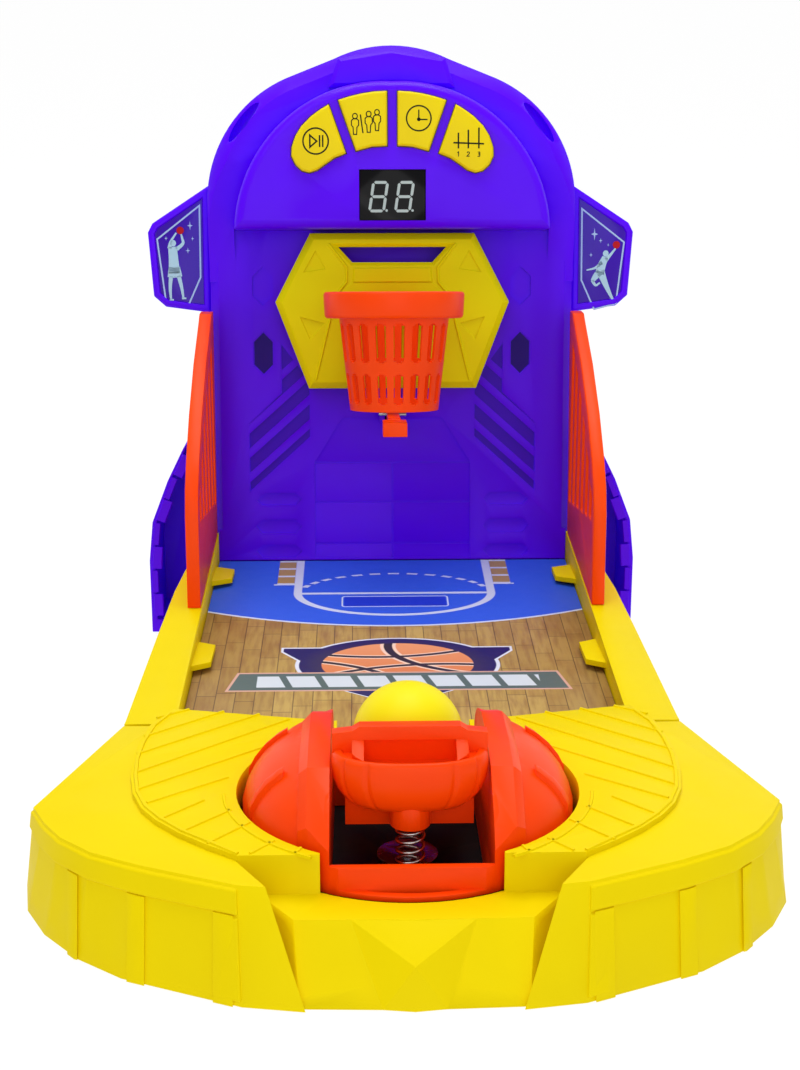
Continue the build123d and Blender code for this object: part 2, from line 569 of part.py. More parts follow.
def tower_back():
    """The back half of the tower, with the battery opening and speaker slots."""
    outer = wall_slice(tower_face(0), -110, TOWER_SPLIT)
    inner = wall_slice(tower_face(SKIN), -110, TOWER_SPLIT + 1)
    outer = on_wall(outer) & block(-200, 200, 0, BACK_Y, GROUND, 400)
    inner = on_wall(inner) & block(-200, 200, 0, BACK_Y - SKIN, -20, 400)
    inner = inner - block(-200, 200, 0, BACK_Y, -30, GROUND + SKIN)
    rear = outer.faces().sort_by(Axis.Y)[-1].edges().sort_by(Axis.Z)[1:]
    shell = chamfer(rear, 4.5) - inner
    for x, v in TOWER_BOSSES:
        post = on_wall(Pos(x, v, TOWER_SPLIT - 30) * Cylinder(4.6, 60))
        post &= block(-200, 200, 0, BACK_Y - 1, 1, 400)
        hole = on_wall(Pos(x, v, TOWER_SPLIT - 30) * Cylinder(1.7, 80))
        wide = on_wall(Pos(x, v, TOWER_SPLIT - 50 - 3) * Cylinder(3.2, 100))
        shell += both(post)
        shell -= both(hole) + both(wide)
    # battery opening and speaker slots in the flat back
    shell -= block(-38, 38, BACK_Y - SKIN - 1, BACK_Y + 1, 40, 112)
    for i in range(7):
        shell -= block(-15, 15, BACK_Y - 6, BACK_Y + 1, 160 + 5 * i, 162.4 + 5 * i)
    shell -= block(-6.2, 6.2, BACK_Y - 6, BACK_Y + 1, 131, 137)
    return shell


def tower_screws():
    """Screws that join the two halves of the tower."""
    screws = []
    for x, v in TOWER_BOSSES:
        head = Pos(x, v, TOWER_SPLIT - 4.2) * Cylinder(2.9, 1.8)
        one = on_wall(head + Pos(x, v, TOWER_SPLIT + 2) * Cylinder(1.25, 11))
        screws += [one, mirror(one, about=Plane.YZ)]
    return screws


def console_outline(gap):
    """The arch of the console."""
    path = Line((-77.5 + gap, HOOD_FOOT + gap), (77.5 - gap, HOOD_FOOT + gap))
    path += ThreePointArc((77.5 - gap, HOOD_FOOT + gap), (61.5 - gap * 0.8, 211 - gap * 0.5), (0, 238.6 - gap))
    path += ThreePointArc((0, 238.6 - gap), (gap * 0.8 - 61.5, 211 - gap * 0.5), (gap - 77.5, HOOD_FOOT + gap))
    return make_face(path)


def button_outline(name, gap):
    """One key of the arch of four, in wall coordinates."""
    inner = [(2.5, 207.4), (9.8, 207), (17.6, 204.9), (26.1, 228.9), (20.6, 230.6), (14.6, 232), (8.6, 232.9),
             (2.5, 233.2)]
    outer = [(22.4, 203.9), (28, 201.7), (32.6, 198.6), (36.4, 195.9), (40.2, 194.7), (43.8, 195.6), (46.9, 198.4),
             (48.9, 202.6), (48.7, 206.8), (46.9, 212), (43.8, 216.8), (39.2, 221.3), (34.6, 224.6), (30.6, 226.9)]
    shapes = {"timer": inner, "level": outer, "players": flipped(inner), "play": flipped(outer)}
    return inset(shapes[name], gap)


BUTTONS = ("play", "players", "timer", "level")


def console_hood():
    """The console that stands out over the backboard."""
    outer = wall_slice(console_outline(0), 0.2, HOOD_DEPTH)
    front = outer.faces().sort_by(Axis.Z)[-1].edges()
    outer = fillet(front, 5.0)
    hood = outer - wall_slice(console_outline(SKIN), -1, HOOD_DEPTH - SKIN)
    for name in BUTTONS:
        hood -= wall_slice(face_of(button_outline(name, -0.4)), HOOD_DEPTH - 10, HOOD_DEPTH + 5)
    hood -= Pos(0, 184.2, HOOD_DEPTH) * Box(32.4, 24.4, 10)
    return on_wall(hood)


def display_window():
    """The dark window in front of the digits."""
    pane = Pos(0, 184.2, HOOD_DEPTH - 1.2) * Box(32, 24, 1.6)
    return on_wall(pane)


def display_module():
    """The two-digit module behind the window."""
    body = Pos(0, 184.2, HOOD_DEPTH - 6.6) * Box(26, 19, 8)
    return on_wall(body)


def button(name):
    """A domed key with a flange behind the console's face."""
    crown = wall_slice(face_of(button_outline(name, 0)), HOOD_DEPTH - SKIN - 2.4, HOOD_DEPTH + 2.6)
    crown = chamfer(crown.faces().sort_by(Axis.Z)[-1].edges(), 0.9)
    flange = wall_slice(face_of(button_outline(name, -0.9)), HOOD_DEPTH - SKIN - 4.0, HOOD_DEPTH - SKIN - 0.3)
    return on_wall(crown + flange)


def main_board():
    """The circuit board behind the console."""
    board = Pos(0, 206, HOOD_DEPTH - 14.2) * Box(100, 44, 1.6)
    board &= wall_slice(console_outline(SKIN + 1), 0, HOOD_DEPTH)
    return on_wall(board)


KEY_SPOTS = ((10.5, 218), (35.5, 210))


def key_switches():
    """One small switch under each key."""
    keys = []
    for x, v in KEY_SPOTS:
        foot = HOOD_DEPTH - 13.4
        one = Pos(x, v, foot + 1.7) * Box(6, 6, 3.4) + Pos(x, v, foot + 3.9) * Cylinder(1.7, 1.4)
        keys += [on_wall(one), mirror(on_wall(one), about=Plane.YZ)]
    return keys


def wing_outline(gap):
    """The wing's outline, right side."""
    pts = [(TOWER_HALF + 0.3, 127.5), (115.5, 130.6), (121.6, 136.0), (124, 168), (121.6, 172.6),
           (TOWER_HALF + 0.3, 191.7)]
    return inset(pts, gap)


def wing():
    """A wing plate on the side of the tower."""
    body = wall_slice(face_of(wing_outline(0)), -22, -9)
    body = chamfer(body.faces().sort_by(Axis.Z)[-1].edges(), 1.2)
    body -= wall_slice(face_of(wing_outline(3.4)), -9.8, 0)
    return on_wall(body)


def wing_decal():
    """The label on the face of a wing."""
    return on_wall(wall_slice(face_of(wing_outline(3.8)), -9.8, -9.4))


BUTTRESS = [(92.3, GROUND), (128, GROUND), (128, 40), (125.7, 61), (117, 83), (108.5, 100), (100, 112),
            (92.3, 118)]


def buttress():
    """A buttress at the foot of the tower."""
    plane = Plane(origin=(0, 160, 0), x_dir=(1, 0, 0), z_dir=(0, -1, 0))
    outline = [(x if x > 93 else 92.3, z) for x, z in BUTTRESS]
    body = extrude(plane * face_of(outline), -46)
    body -= extrude(plane * face_of(inset(outline, 6)), 1.2, both=True)
    # hollow, and open on the side that sits against the tower
    room = [(x if x > 93 else 90, z) for x, z in inset(outline, 3)]
    body -= extrude(Pos(0, 4, 0) * plane * face_of(room), -39)
    return body


# ---- target ----
BOARD = [(-42, 89.8), (42, 89.8), (58.4, 132.8), (40.8, 166.6), (-40.8, 166.6), (-58.4, 132.8)]


def backboard():
    """The six-sided backboard, with a slot near its top."""
    edge = BOARD_DEPTH - 3
    body = frustum(BOARD, 0.3, BOARD, edge) + frustum(BOARD, edge, inset(BOARD, 3.2), BOARD_DEPTH)
    body -= wall_slice(face_of(inset(BOARD, SKIN + 0.4)), -1, BOARD_DEPTH - 5.6)
    slot = [(-20.5, 150.9), (20.5, 150.9), (30, 161.2), (-30, 161.2)]
    body -= wall_slice(face_of(inset(slot, 1.4)), -1, 40)
    body -= frustum(inset(slot, 1.2), BOARD_DEPTH - 1.6, inset(slot, -0.6), BOARD_DEPTH + 0.4)
    for tip in ([(44, 147.4), (38, 158), (33.2, 149.1)], [(41.2, 114.3), (46, 125.4), (34, 122.3)]):
        body -= both(wall_slice(face_of(tip), BOARD_DEPTH - 0.9, 40))
    return on_wall(body)


def hoop_axis(shape):
    """Places a shape turned about Z onto the hoop's axis, which runs up the wall."""
    return on_wall(Pos(0, 0, HOOP_OUT) * Rot(-90, 0, 0) * shape)


def hoop_rim():
    """The hoop: a tall ring with an arm to the backboard."""
    ring = Pos(0, 0, RIM_TOP - RIM_H / 2) * (Cylinder(RIM_R, RIM_H) - Cylinder(BASKET_TOP_R + 0.2, RIM_H + 2))
    ring = chamfer(ring.edges().filter_by(GeomType.CIRCLE), 0.8)
    reach = HOOP_OUT - BOARD_DEPTH - 0.2
    arm = Pos(0, reach / 2 + 12, RIM_TOP - RIM_H / 2) * Box(30, reach - 24, RIM_H - 1)
    ring += arm - Cylinder(BASKET_TOP_R + 0.4, 400)
    return hoop_axis(Rot(0, 0, 180) * ring)


def basket():
    """The tapered basket, with two rows of upright slots."""
    cone = [(BASKET_LOW_R - BASKET_WALL, BASKET_LOW), (BASKET_LOW_R, BASKET_LOW), (BASKET_TOP_R, RIM_TOP - 1),
            (BASKET_TOP_R - BASKET_WALL, RIM_TOP - 1)]
    side = Plane.XZ * face_of(cone)
    shell = revolve(side, axis=Axis.Z)
    count = 12
    for low, high in ((88, 101), (105.5, 122)):
        for i in range(count):
            slot = Pos(BASKET_TOP_R - 4, 0, (low + high) / 2) * Box(16, 5.2, high - low)
            shell -= Rot(0, 0, 360 / count * (i + 0.5)) * slot
    return hoop_axis(shell)


def score_lever():
    """The lever under the basket that a passing ball tips."""
    arm = Pos(0, 76.2, 30) * Box(6, 3.0, 46) + Pos(0, 73.6, 64) * Box(11.4, 6.6, 22)
    arm += Pos(0, 76.2, SCORE_W) * Rot(0, 90, 0) * Cylinder(3.0, 6)
    arm -= Pos(0, 76.2, SCORE_W) * Rot(0, 90, 0) * Cylinder(1.06, 20)
    return on_wall(arm)


def score_pin():
    """The pin the scoring lever turns on."""
    return on_wall(Pos(0, 76.2, SCORE_W) * Rot(0, 90, 0) * Cylinder(1.0, 14))


def score_bracket():
    """The bracket behind the wall that holds the scoring pin."""
    ear = Pos(5.2, 76.2, 3.4) * Box(2.6, 8, 6.4)
    ear -= Pos(5.2, 76.2, SCORE_W) * Rot(0, 90, 0) * Cylinder(1.0, 8)
    return on_wall(both(ear))


def score_switch():
    """The switch the scoring lever works."""
    return on_wall(Pos(0, 84, -7) * Box(12, 6, 8))


# ---- back of the tower ----
def speaker():
    """The speaker behind the slots in the back."""
    frame = Cylinder(18, 6) + Pos(0, 0, 5) * Cylinder(9, 5)
    return Pos(0, BACK_Y - SKIN - 3.4, 176) * Rot(90, 0, 0) * frame


def battery_box():
    """The box the batteries lie in."""
    tub = block(-40, 40, BACK_Y - 22, BACK_Y - SKIN - 0.1, 37, 115)
    tub -= block(-37.8, 37.8, BACK_Y - 20, BACK_Y, 40, 112)
    return tub


def batteries():
    """Three batteries, side by side."""
    return [Pos(-22.5 + 15 * i, BACK_Y - 12.4, 76) * Cylinder(7.1, 50) + Pos(-22.5 + 15 * i, BACK_Y - 12.4, 101.6) *
            Cylinder(2.7, 1.4) for i in range(4)]


def battery_contacts():
    """Sprung contacts at the ends of the batteries."""
    plates = []
    for i in range(4):
        x = -22.5 + 15 * i
        plates.append(block(x - 5, x + 5, BACK_Y - 18, BACK_Y - 6, 111.4, 111.9))
        plates.append(block(x - 5, x + 5, BACK_Y - 18, BACK_Y - 6, 40.1, 40.6))
    return plates


def battery_door():
    """The door over the battery box."""
    door = block(-37.6, 37.6, BACK_Y - SKIN + 0.2, BACK_Y, 40.4, 111.6)
    for i in range(5):
        door -= block(-20, 20, BACK_Y - 0.8, BACK_Y + 1, 50 + 4 * i, 51.8 + 4 * i)
    return door


def power_switch_body():
    """The body of the slide switch."""
    return block(-11, 11, BACK_Y - 9, BACK_Y - 2.7, 129, 139)


def power_switch_knob():
    """The knob of the slide switch."""
    return block(-5.8, -0.4, BACK_Y - 2.5, BACK_Y - 0.2, 131.4, 136.6)


# ---- write the parts ----
def solids_of(shape):
    """A compound of separate solids."""
    if isinstance(shape, (list, tuple)):
        return Compound(children=[s for s in shape])
    return shape


def main():
    """Builds every piece and writes it out."""
    os.makedirs("parts", exist_ok=True)
    net = net_panel()
    fin, decal, flank = wing(), wing_decal(), buttress()
    pieces = {
        "base_shell": base_shell(), "base_bottom_cover": base_bottom_cover(), "rubber_feet": rubber_feet(),
        "base_screws": base_screws(), "court_board": court_board(), "turntable_dome": turntable_dome(),
        "turntable_base": turntable_base(), "tray_screws": tray_screws(),
        "turntable_washer": turntable_washer(), "turntable_screw": turntable_screw(),
        "launch_lever": launch_lever(), "lever_axle": lever_axle(), "launch_spring": launch_spring(),
        "ball": ball(), "net_panel_right": net, "net_panel_left": mirror(net, about=Plane.YZ),
        "tower_front": tower_front(), "tower_back": tower_back(), "tower_screws": tower_screws(),
        "console_hood": console_hood(), "display_window": display_window(), "display_module": display_module(),
        "main_board": main_board(), "key_switches": key_switches(),
        "wing_right": fin, "wing_left": mirror(fin, about=Plane.YZ),
        "wing_decal_right": decal, "wing_decal_left": mirror(decal, about=Plane.YZ),
        "buttress_right": flank, "buttress_left": mirror(flank, about=Plane.YZ),
        "backboard": backboard(), "hoop_rim": hoop_rim(), "basket": basket(), "score_lever": score_lever(),
        "score_pin": score_pin(), "score_bracket": score_bracket(), "score_switch": score_switch(),
        "speaker": speaker(), "battery_box": battery_box(), "batteries": batteries(),
        "battery_contacts": battery_contacts(), "battery_door": battery_door(),
        "power_switch_body": power_switch_body(), "power_switch_knob": power_switch_knob(),
    }
    for name in BUTTONS:
        pieces["button_" + name] = button(name)
    for name, shape in pieces.items():
        export_step(solids_of(shape), f"parts/{name}.step")


main()
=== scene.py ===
"""Finishes, printed artwork and fine pieces of a table-top basketball hoop machine.

Lengths in the classes are millimetres. Flat work on the leaning wall is drawn in the wall's own
axes: across, up the wall, and out of the wall.
"""

import logging
import math
from dataclasses import dataclass
from enum import Enum
from typing import Callable, Optional, Sequence

import bpy
import numpy as np
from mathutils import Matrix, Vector


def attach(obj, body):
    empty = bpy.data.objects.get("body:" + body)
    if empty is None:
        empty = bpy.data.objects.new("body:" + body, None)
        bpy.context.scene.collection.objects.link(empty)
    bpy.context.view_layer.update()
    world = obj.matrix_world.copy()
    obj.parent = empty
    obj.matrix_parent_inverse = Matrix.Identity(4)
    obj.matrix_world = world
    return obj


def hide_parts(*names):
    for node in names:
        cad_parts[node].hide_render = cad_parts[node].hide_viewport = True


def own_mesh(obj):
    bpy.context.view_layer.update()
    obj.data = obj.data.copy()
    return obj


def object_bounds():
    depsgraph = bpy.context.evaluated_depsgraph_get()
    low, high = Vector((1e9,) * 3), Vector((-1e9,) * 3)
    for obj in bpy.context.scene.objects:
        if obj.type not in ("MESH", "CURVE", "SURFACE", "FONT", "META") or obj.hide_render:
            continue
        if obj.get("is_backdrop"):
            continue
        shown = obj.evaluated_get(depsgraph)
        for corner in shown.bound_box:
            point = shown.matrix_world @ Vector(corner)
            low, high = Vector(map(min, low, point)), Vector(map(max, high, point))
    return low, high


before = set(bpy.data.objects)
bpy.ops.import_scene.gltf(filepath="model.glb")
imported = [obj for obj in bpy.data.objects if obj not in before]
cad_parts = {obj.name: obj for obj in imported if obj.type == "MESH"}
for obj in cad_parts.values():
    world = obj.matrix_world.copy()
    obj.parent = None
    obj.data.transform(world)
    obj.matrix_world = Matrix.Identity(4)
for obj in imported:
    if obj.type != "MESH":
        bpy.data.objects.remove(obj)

log = logging.getLogger("hoop_machine")
MM = 0.001
Colour = tuple[float, float, float]
Path = Sequence[tuple[float, float]]


def tone(red: int, green: int, blue: int) -> Colour:
    """A display colour, 0 to 255, as linear light."""
    share = np.array([red, green, blue]) / 255.0
    low, high = share / 12.92, ((share + 0.055) / 1.055) ** 2.4
    return tuple(float(v) for v in np.where(share <= 0.04045, low, high))


# ---------------------------------------------------------------- surfaces


@dataclass
class Surface:
    """Points and faces of one piece, in the axes it is drawn in.

    Attributes:
        points: rows of three coordinates.
        faces: point numbers of each face, anticlockwise seen from outside.
    """

    points: np.ndarray
    faces: list[list[int]]

    def __add__(self, other: "Surface") -> "Surface":
        """Both surfaces as one."""
        shift = len(self.points)
        moved = [[i + shift for i in f] for f in other.faces]
        return Surface(np.vstack([self.points, other.points]), self.faces + moved)


def together(parts: Sequence[Surface]) -> Surface:
    """Several surfaces as one."""
    whole = parts[0]
    for part in parts[1:]:
        whole = whole + part
    return whole


def mirrored(surface: Surface) -> Surface:
    """The same surface on the other side, across x turned to minus x and faces reversed."""
    return Surface(surface.points * np.array([-1.0, 1.0, 1.0]), [f[::-1] for f in surface.faces])


def net_faces(rows: int, cols: int, ring_rows: bool, ring_cols: bool) -> list[list[int]]:
    """Faces of a grid of rows by cols points.

    Args:
        rows: points along the first parameter.
        cols: points along the second parameter.
        ring_rows: whether the last row joins the first.
        ring_cols: whether the last column joins the first.

    Returns:
        Four point numbers for each cell.
    """
    i = np.arange(rows if ring_rows else rows - 1)[:, None]
    k = np.arange(cols if ring_cols else cols - 1)[None, :]
    a, b = i * cols + k, (i + 1) % rows * cols + k
    c, d = (i + 1) % rows * cols + (k + 1) % cols, i * cols + (k + 1) % cols
    return np.stack(np.broadcast_arrays(a, b, c, d), -1).reshape(-1, 4).tolist()


def unit(v: np.ndarray) -> np.ndarray:
    """Each row divided by its length."""
    return v / np.maximum(np.linalg.norm(v, axis=-1, keepdims=True), 1e-9)


def ribbon(path: Path, width: float | Sequence[float], low: float, high: float, closed: bool = False,
           top: float = 1.0) -> Surface:
    """A flat strip: a four-cornered section carried along a path.

    At each point the section's corners stand half the width to either side, along the mitre of the
    path's two directions there, at the low and the high level; the high corners stand in by top.

    Args:
        path: points across and along.
        width: one width, or one for each point.
        low: level of the underside.
        high: level of the face.
        closed: whether the path is a loop.
        top: share of the width that the face keeps.

    Returns:
        The closed strip.
    """
    p = np.asarray(path, float)
    wide = np.broadcast_to(np.asarray(width, float), len(p))[:, None] / 2
    before = np.roll(p, 1, 0) if closed else np.vstack([2 * p[0] - p[1], p[:-1]])
    after = np.roll(p, -1, 0) if closed else np.vstack([p[1:], 2 * p[-1] - p[-2]])
    into, out = unit(p - before), unit(after - p)
    n1, n2 = np.stack([-into[:, 1], into[:, 0]], -1), np.stack([-out[:, 1], out[:, 0]], -1)
    mitre = (n1 + n2) / np.maximum(1 + (n1 * n2).sum(-1, keepdims=True), 0.35)
    corners = [(-1.0, low), (-top, high), (top, high), (1.0, low)]
    rows = [np.column_stack([p + mitre * wide * side, np.full(len(p), level)]) for side, level in corners]
    points = np.stack(rows, 1).reshape(-1, 3)
    faces = net_faces(len(p), 4, closed, True)
    if not closed:
        last = 4 * (len(p) - 1)
        faces += [[0, 1, 2, 3], [last + 3, last + 2, last + 1, last]]
    return Surface(points, faces)


def plate(outline: Path, low: float, high: float, inset: float = 0.0) -> Surface:
    """A flat plate over an anticlockwise outline: its edge carried from low to high, and closed.

    Args:
        outline: points across and along.
        low: level of the underside.
        high: level of the face.
        inset: share by which the face shrinks towards the outline's middle.

    Returns:
        The closed plate.
    """
    p = np.asarray(outline, float)
    middle = p.mean(0)
    face = middle + (p - middle) * (1 - inset)
    count = len(p)
    points = np.vstack([np.column_stack([p, np.full(count, low)]),
                        np.column_stack([face, np.full(count, high)])])
    ids = np.arange(count)
    after = (ids + 1) % count
    faces = np.stack([ids, after, after + count, ids + count], -1).tolist()
    return Surface(points, faces + [(ids + count).tolist(), ids[::-1].tolist()])


def arc(cx: float, cy: float, rx: float, ry: float, start: float = 0.0, end: float = 360.0,
        count: int = 48) -> np.ndarray:
    """Points of an ellipse's arc: the centre plus the radii times the cosine and sine of the angle.

    Args:
        cx, cy: centre.
        rx, ry: radii.
        start, end: angles in degrees; a full turn leaves out the repeated last point.
        count: number of points.

    Returns:
        Rows of two coordinates.
    """
    full = abs(end - start) >= 360
    t = np.radians(np.linspace(start, end, count, endpoint=not full))
    return np.column_stack([cx + rx * np.cos(t), cy + ry * np.sin(t)])


def eased(path: Path, count: int = 24) -> np.ndarray:
    """A smooth curve through the points: a cubic between each two, whose slope at a point is half
    the step between that point's neighbours."""
    p = np.asarray(path, float)
    padded = np.vstack([2 * p[0] - p[1], p, 2 * p[-1] - p[-2]])
    t = np.linspace(0, len(p) - 1, count)
    i = np.minimum(t.astype(int), len(p) - 2)
    u = (t - i)[:, None]
    a, b, c, d = padded[i], padded[i + 1], padded[i + 2], padded[i + 3]
    return 0.5 * (2 * b + (c - a) * u + (2 * a - 5 * b + 4 * c - d) * u**2 + (3 * b - a - 3 * c + d) * u**3)


def limb(path: Path, widths: Sequence[float], low: float, high: float) -> Surface:
    """A smooth strip whose width changes evenly from point to point."""
    curve = eased(path)
    wide = np.interp(np.linspace(0, 1, len(curve)), np.linspace(0, 1, len(widths)), widths)
    return ribbon(curve, wide, low, high)


def tube(path: np.ndarray, radius: float, sides: int = 10) -> Surface:
    """A round wire: a circle carried along a path in space, square to the path's direction.

    Args:
        path: rows of three coordinates.
        radius: the wire's radius.
        sides: corners of the circle.

    Returns:
        The closed wire.
    """
    run = unit(np.gradient(path, axis=0))
    side = unit(np.cross(run, np.array([0.0, 0.0, 1.0])))
    lift = np.cross(side, run)
    t = np.linspace(0, 2 * np.pi, sides, endpoint=False)[None, :, None]
    points = path[:, None] + radius * (np.cos(t) * side[:, None] + np.sin(t) * lift[:, None])
    faces = [f[::-1] for f in net_faces(len(path), sides, False, True)]
    last = (len(path) - 1) * sides
    caps = [list(range(sides)), list(range(last + sides - 1, last - 1, -1))]
    return Surface(points.reshape(-1, 3), faces + caps)


def turned(profile: Path, sides: int = 96, ring: bool = False) -> Surface:
    """A turned surface: each (radius, height) of the profile carried round the upright axis.

    Args:
        profile: radii and heights, with the outside on the right of the way the profile runs.
        sides: steps round the axis.
        ring: whether the profile is a loop.

    Returns:
        The surface, in the axis's own frame.
    """
    p = np.asarray(profile, float)
    t = np.linspace(0, 2 * np.pi, sides, endpoint=False)[:, None]
    along = np.broadcast_to(p[:, 1], (sides, len(p)))
    points = np.stack([p[:, 0] * np.cos(t), p[:, 0] * np.sin(t), along], -1)
    return Surface(points.reshape(-1, 3), net_faces(sides, len(p), True, ring))


# ---------------------------------------------------------------- places


def level(points: np.ndarray) -> np.ndarray:
    """Points in millimetres in the object's own frame, as metres."""
    return points * MM


@dataclass(frozen=True)
class Slope:
    """A plane with its own axes: across, up the plane, and out of it."""

    foot_y: float
    foot_z: float
    tilt: float

    def place(self, points: np.ndarray) -> np.ndarray:
        """Points (across, up, out) as metres in the object's frame; tilt is the plane's lean back."""
        c, s = math.cos(math.radians(self.tilt)), math.sin(math.radians(self.tilt))
        x, v, w = points.T
        return np.column_stack([x, self.foot_y + v * s - w * c, self.foot_z + v * c + w * s]) * MM


WALL = Slope(foot_y=145.0, foot_z=43.9, tilt=6.6)


# ---------------------------------------------------------------- materials


class Num:
    """A number in a node tree that can be written into formulas."""

    def __init__(self, tree: bpy.types.NodeTree, socket: bpy.types.NodeSocket) -> None:
        """Keeps the tree and the socket that gives the number."""
        self.tree, self.socket = tree, socket

    def op(self, kind: str, *others: "Num | float", clamp: bool = False) -> "Num":
        """One Math node on this number and the others."""
        node = self.tree.nodes.new("ShaderNodeMath")
        node.operation, node.use_clamp = kind, clamp
        for slot, item in zip(node.inputs, (self, *others)):
            if isinstance(item, Num):
                self.tree.links.new(item.socket, slot)
            else:
                slot.default_value = item
        return Num(self.tree, node.outputs[0])

    def __add__(self, other: "Num | float") -> "Num":
        """Sum."""
        return self.op("ADD", other)

    def __sub__(self, other: "Num | float") -> "Num":
        """Difference."""
        return self.op("SUBTRACT", other)

    def __mul__(self, other: "Num | float") -> "Num":
        """Product."""
        return self.op("MULTIPLY", other)

    def __truediv__(self, other: "Num | float") -> "Num":
        """Quotient."""
        return self.op("DIVIDE", other)

    def __abs__(self) -> "Num":
        """Size without sign."""
        return self.op("ABSOLUTE")

    def inside(self, soft: float = 0.25) -> "Num":
        """1 where this distance is below zero and 0 where it is above, over a soft edge."""
        return (self * (-1 / soft)).op("ADD", 0.5, clamp=True)


class Shade:
    """A material being built: its tree, its shader and the sockets that patterns start from."""

    def __init__(self, name: str) -> None:
        """Makes the material with a Principled shader and Object coordinates in millimetres."""
        self.material = bpy.data.materials.new(name)
        self.material.use_nodes = True
        self.tree = self.material.node_tree
        self.shader = self.tree.nodes["Principled BSDF"]
        coordinates = self.tree.nodes.new("ShaderNodeTexCoord")
        self.where = coordinates.outputs["Object"]
        split = self.tree.nodes.new("ShaderNodeSeparateXYZ")
        self.tree.links.new(self.where, split.inputs[0])
        self.x, self.y, self.z = (Num(self.tree, s) * 1000.0 for s in split.outputs)

    def mix(self, mask: "Num | float", low: object, high: object) -> bpy.types.NodeSocket:
        """A colour that is low where the mask is 0 and high where it is 1."""
        node = self.tree.nodes.new("ShaderNodeMix")
        node.data_type = "RGBA"
        if isinstance(mask, Num):
            self.tree.links.new(mask.socket, node.inputs["Factor"])
        else:
            node.inputs["Factor"].default_value = mask
        for slot, item in ((node.inputs[6], low), (node.inputs[7], high)):
            if isinstance(item, tuple):
                slot.default_value = (*item, 1.0)
            else:
                self.tree.links.new(item, slot)
        return node.outputs[2]

    def noise(self, scale: float, detail: float = 2.0, stretch: Colour = (1.0, 1.0, 1.0)) -> Num:
        """Soft noise over the surface, scale cycles per metre, stretched along the axes."""
        mapping = self.tree.nodes.new("ShaderNodeMapping")
        mapping.inputs["Scale"].default_value = stretch
        self.tree.links.new(self.where, mapping.inputs[0])
        node = self.tree.nodes.new("ShaderNodeTexNoise")
        node.inputs["Scale"].default_value = scale
        node.inputs["Detail"].default_value = detail
        self.tree.links.new(mapping.outputs[0], node.inputs["Vector"])
        return Num(self.tree, node.outputs["Fac"])

    def moulding(self, scale: float, base: float, spread: float) -> tuple[Num, Num, Num]:
        """Places the shared moulding group.

        Args:
            scale: grain cycles per metre.
            base: middle roughness.
            spread: how far the roughness wanders.

        Returns:
            Roughness, bump height, and a slow mask for tone.
        """
        node = self.tree.nodes.new("ShaderNodeGroup")
        node.node_tree = moulding_group()
        self.tree.links.new(self.where, node.inputs["Vector"])
        for name, value in (("Scale", scale), ("Roughness", base), ("Spread", spread)):
            node.inputs[name].default_value = value
        return tuple(Num(self.tree, node.outputs[n]) for n in ("Roughness", "Height", "Tone"))

    def bump(self, height: Num, strength: float, distance: float) -> None:
        """Lets a height tilt the surface's normal."""
        node = self.tree.nodes.new("ShaderNodeBump")
        node.inputs["Strength"].default_value = strength
        node.inputs["Distance"].default_value = distance
        self.tree.links.new(height.socket, node.inputs["Height"])
        self.tree.links.new(node.outputs[0], self.shader.inputs["Normal"])


def moulding_group() -> bpy.types.NodeTree:
    """The shared group for moulded and rolled surfaces: a fine grain and slow flow marks.

    Roughness is the middle value plus the spread times a medium noise, Height is a fine noise, and
    Tone is a slow noise.

    Returns:
        The group, made on first use.
    """
    made = bpy.data.node_groups.get("Moulding")
    if made:
        return made
    group = bpy.data.node_groups.new("Moulding", "ShaderNodeTree")
    group.interface.new_socket("Vector", in_out="INPUT", socket_type="NodeSocketVector")
    for name in ("Scale", "Roughness", "Spread"):
        group.interface.new_socket(name, in_out="INPUT", socket_type="NodeSocketFloat")
    for name in ("Roughness", "Height", "Tone"):
        group.interface.new_socket(name, in_out="OUTPUT", socket_type="NodeSocketFloat")
    enter, leave = group.nodes.new("NodeGroupInput"), group.nodes.new("NodeGroupOutput")

    def cloud(share: float, detail: float) -> Num:
        """Noise at a share of the grain's scale."""
        scale = Num(group, enter.outputs["Scale"]) * share
        node = group.nodes.new("ShaderNodeTexNoise")
        node.inputs["Detail"].default_value = detail
        group.links.new(enter.outputs["Vector"], node.inputs["Vector"])
        group.links.new(scale.socket, node.inputs["Scale"])
        return Num(group, node.outputs["Fac"])

    medium = (cloud(0.08, 3.0) - 0.5) * 2.0
    spread, middle = (Num(group, enter.outputs[name]) for name in ("Spread", "Roughness"))
    rough = medium.op("MULTIPLY_ADD", spread, middle)
    for name, value in (("Roughness", rough), ("Height", cloud(1.0, 2.0)), ("Tone", cloud(0.02, 2.0))):
        group.links.new(value.socket, leave.inputs[name])
    return group


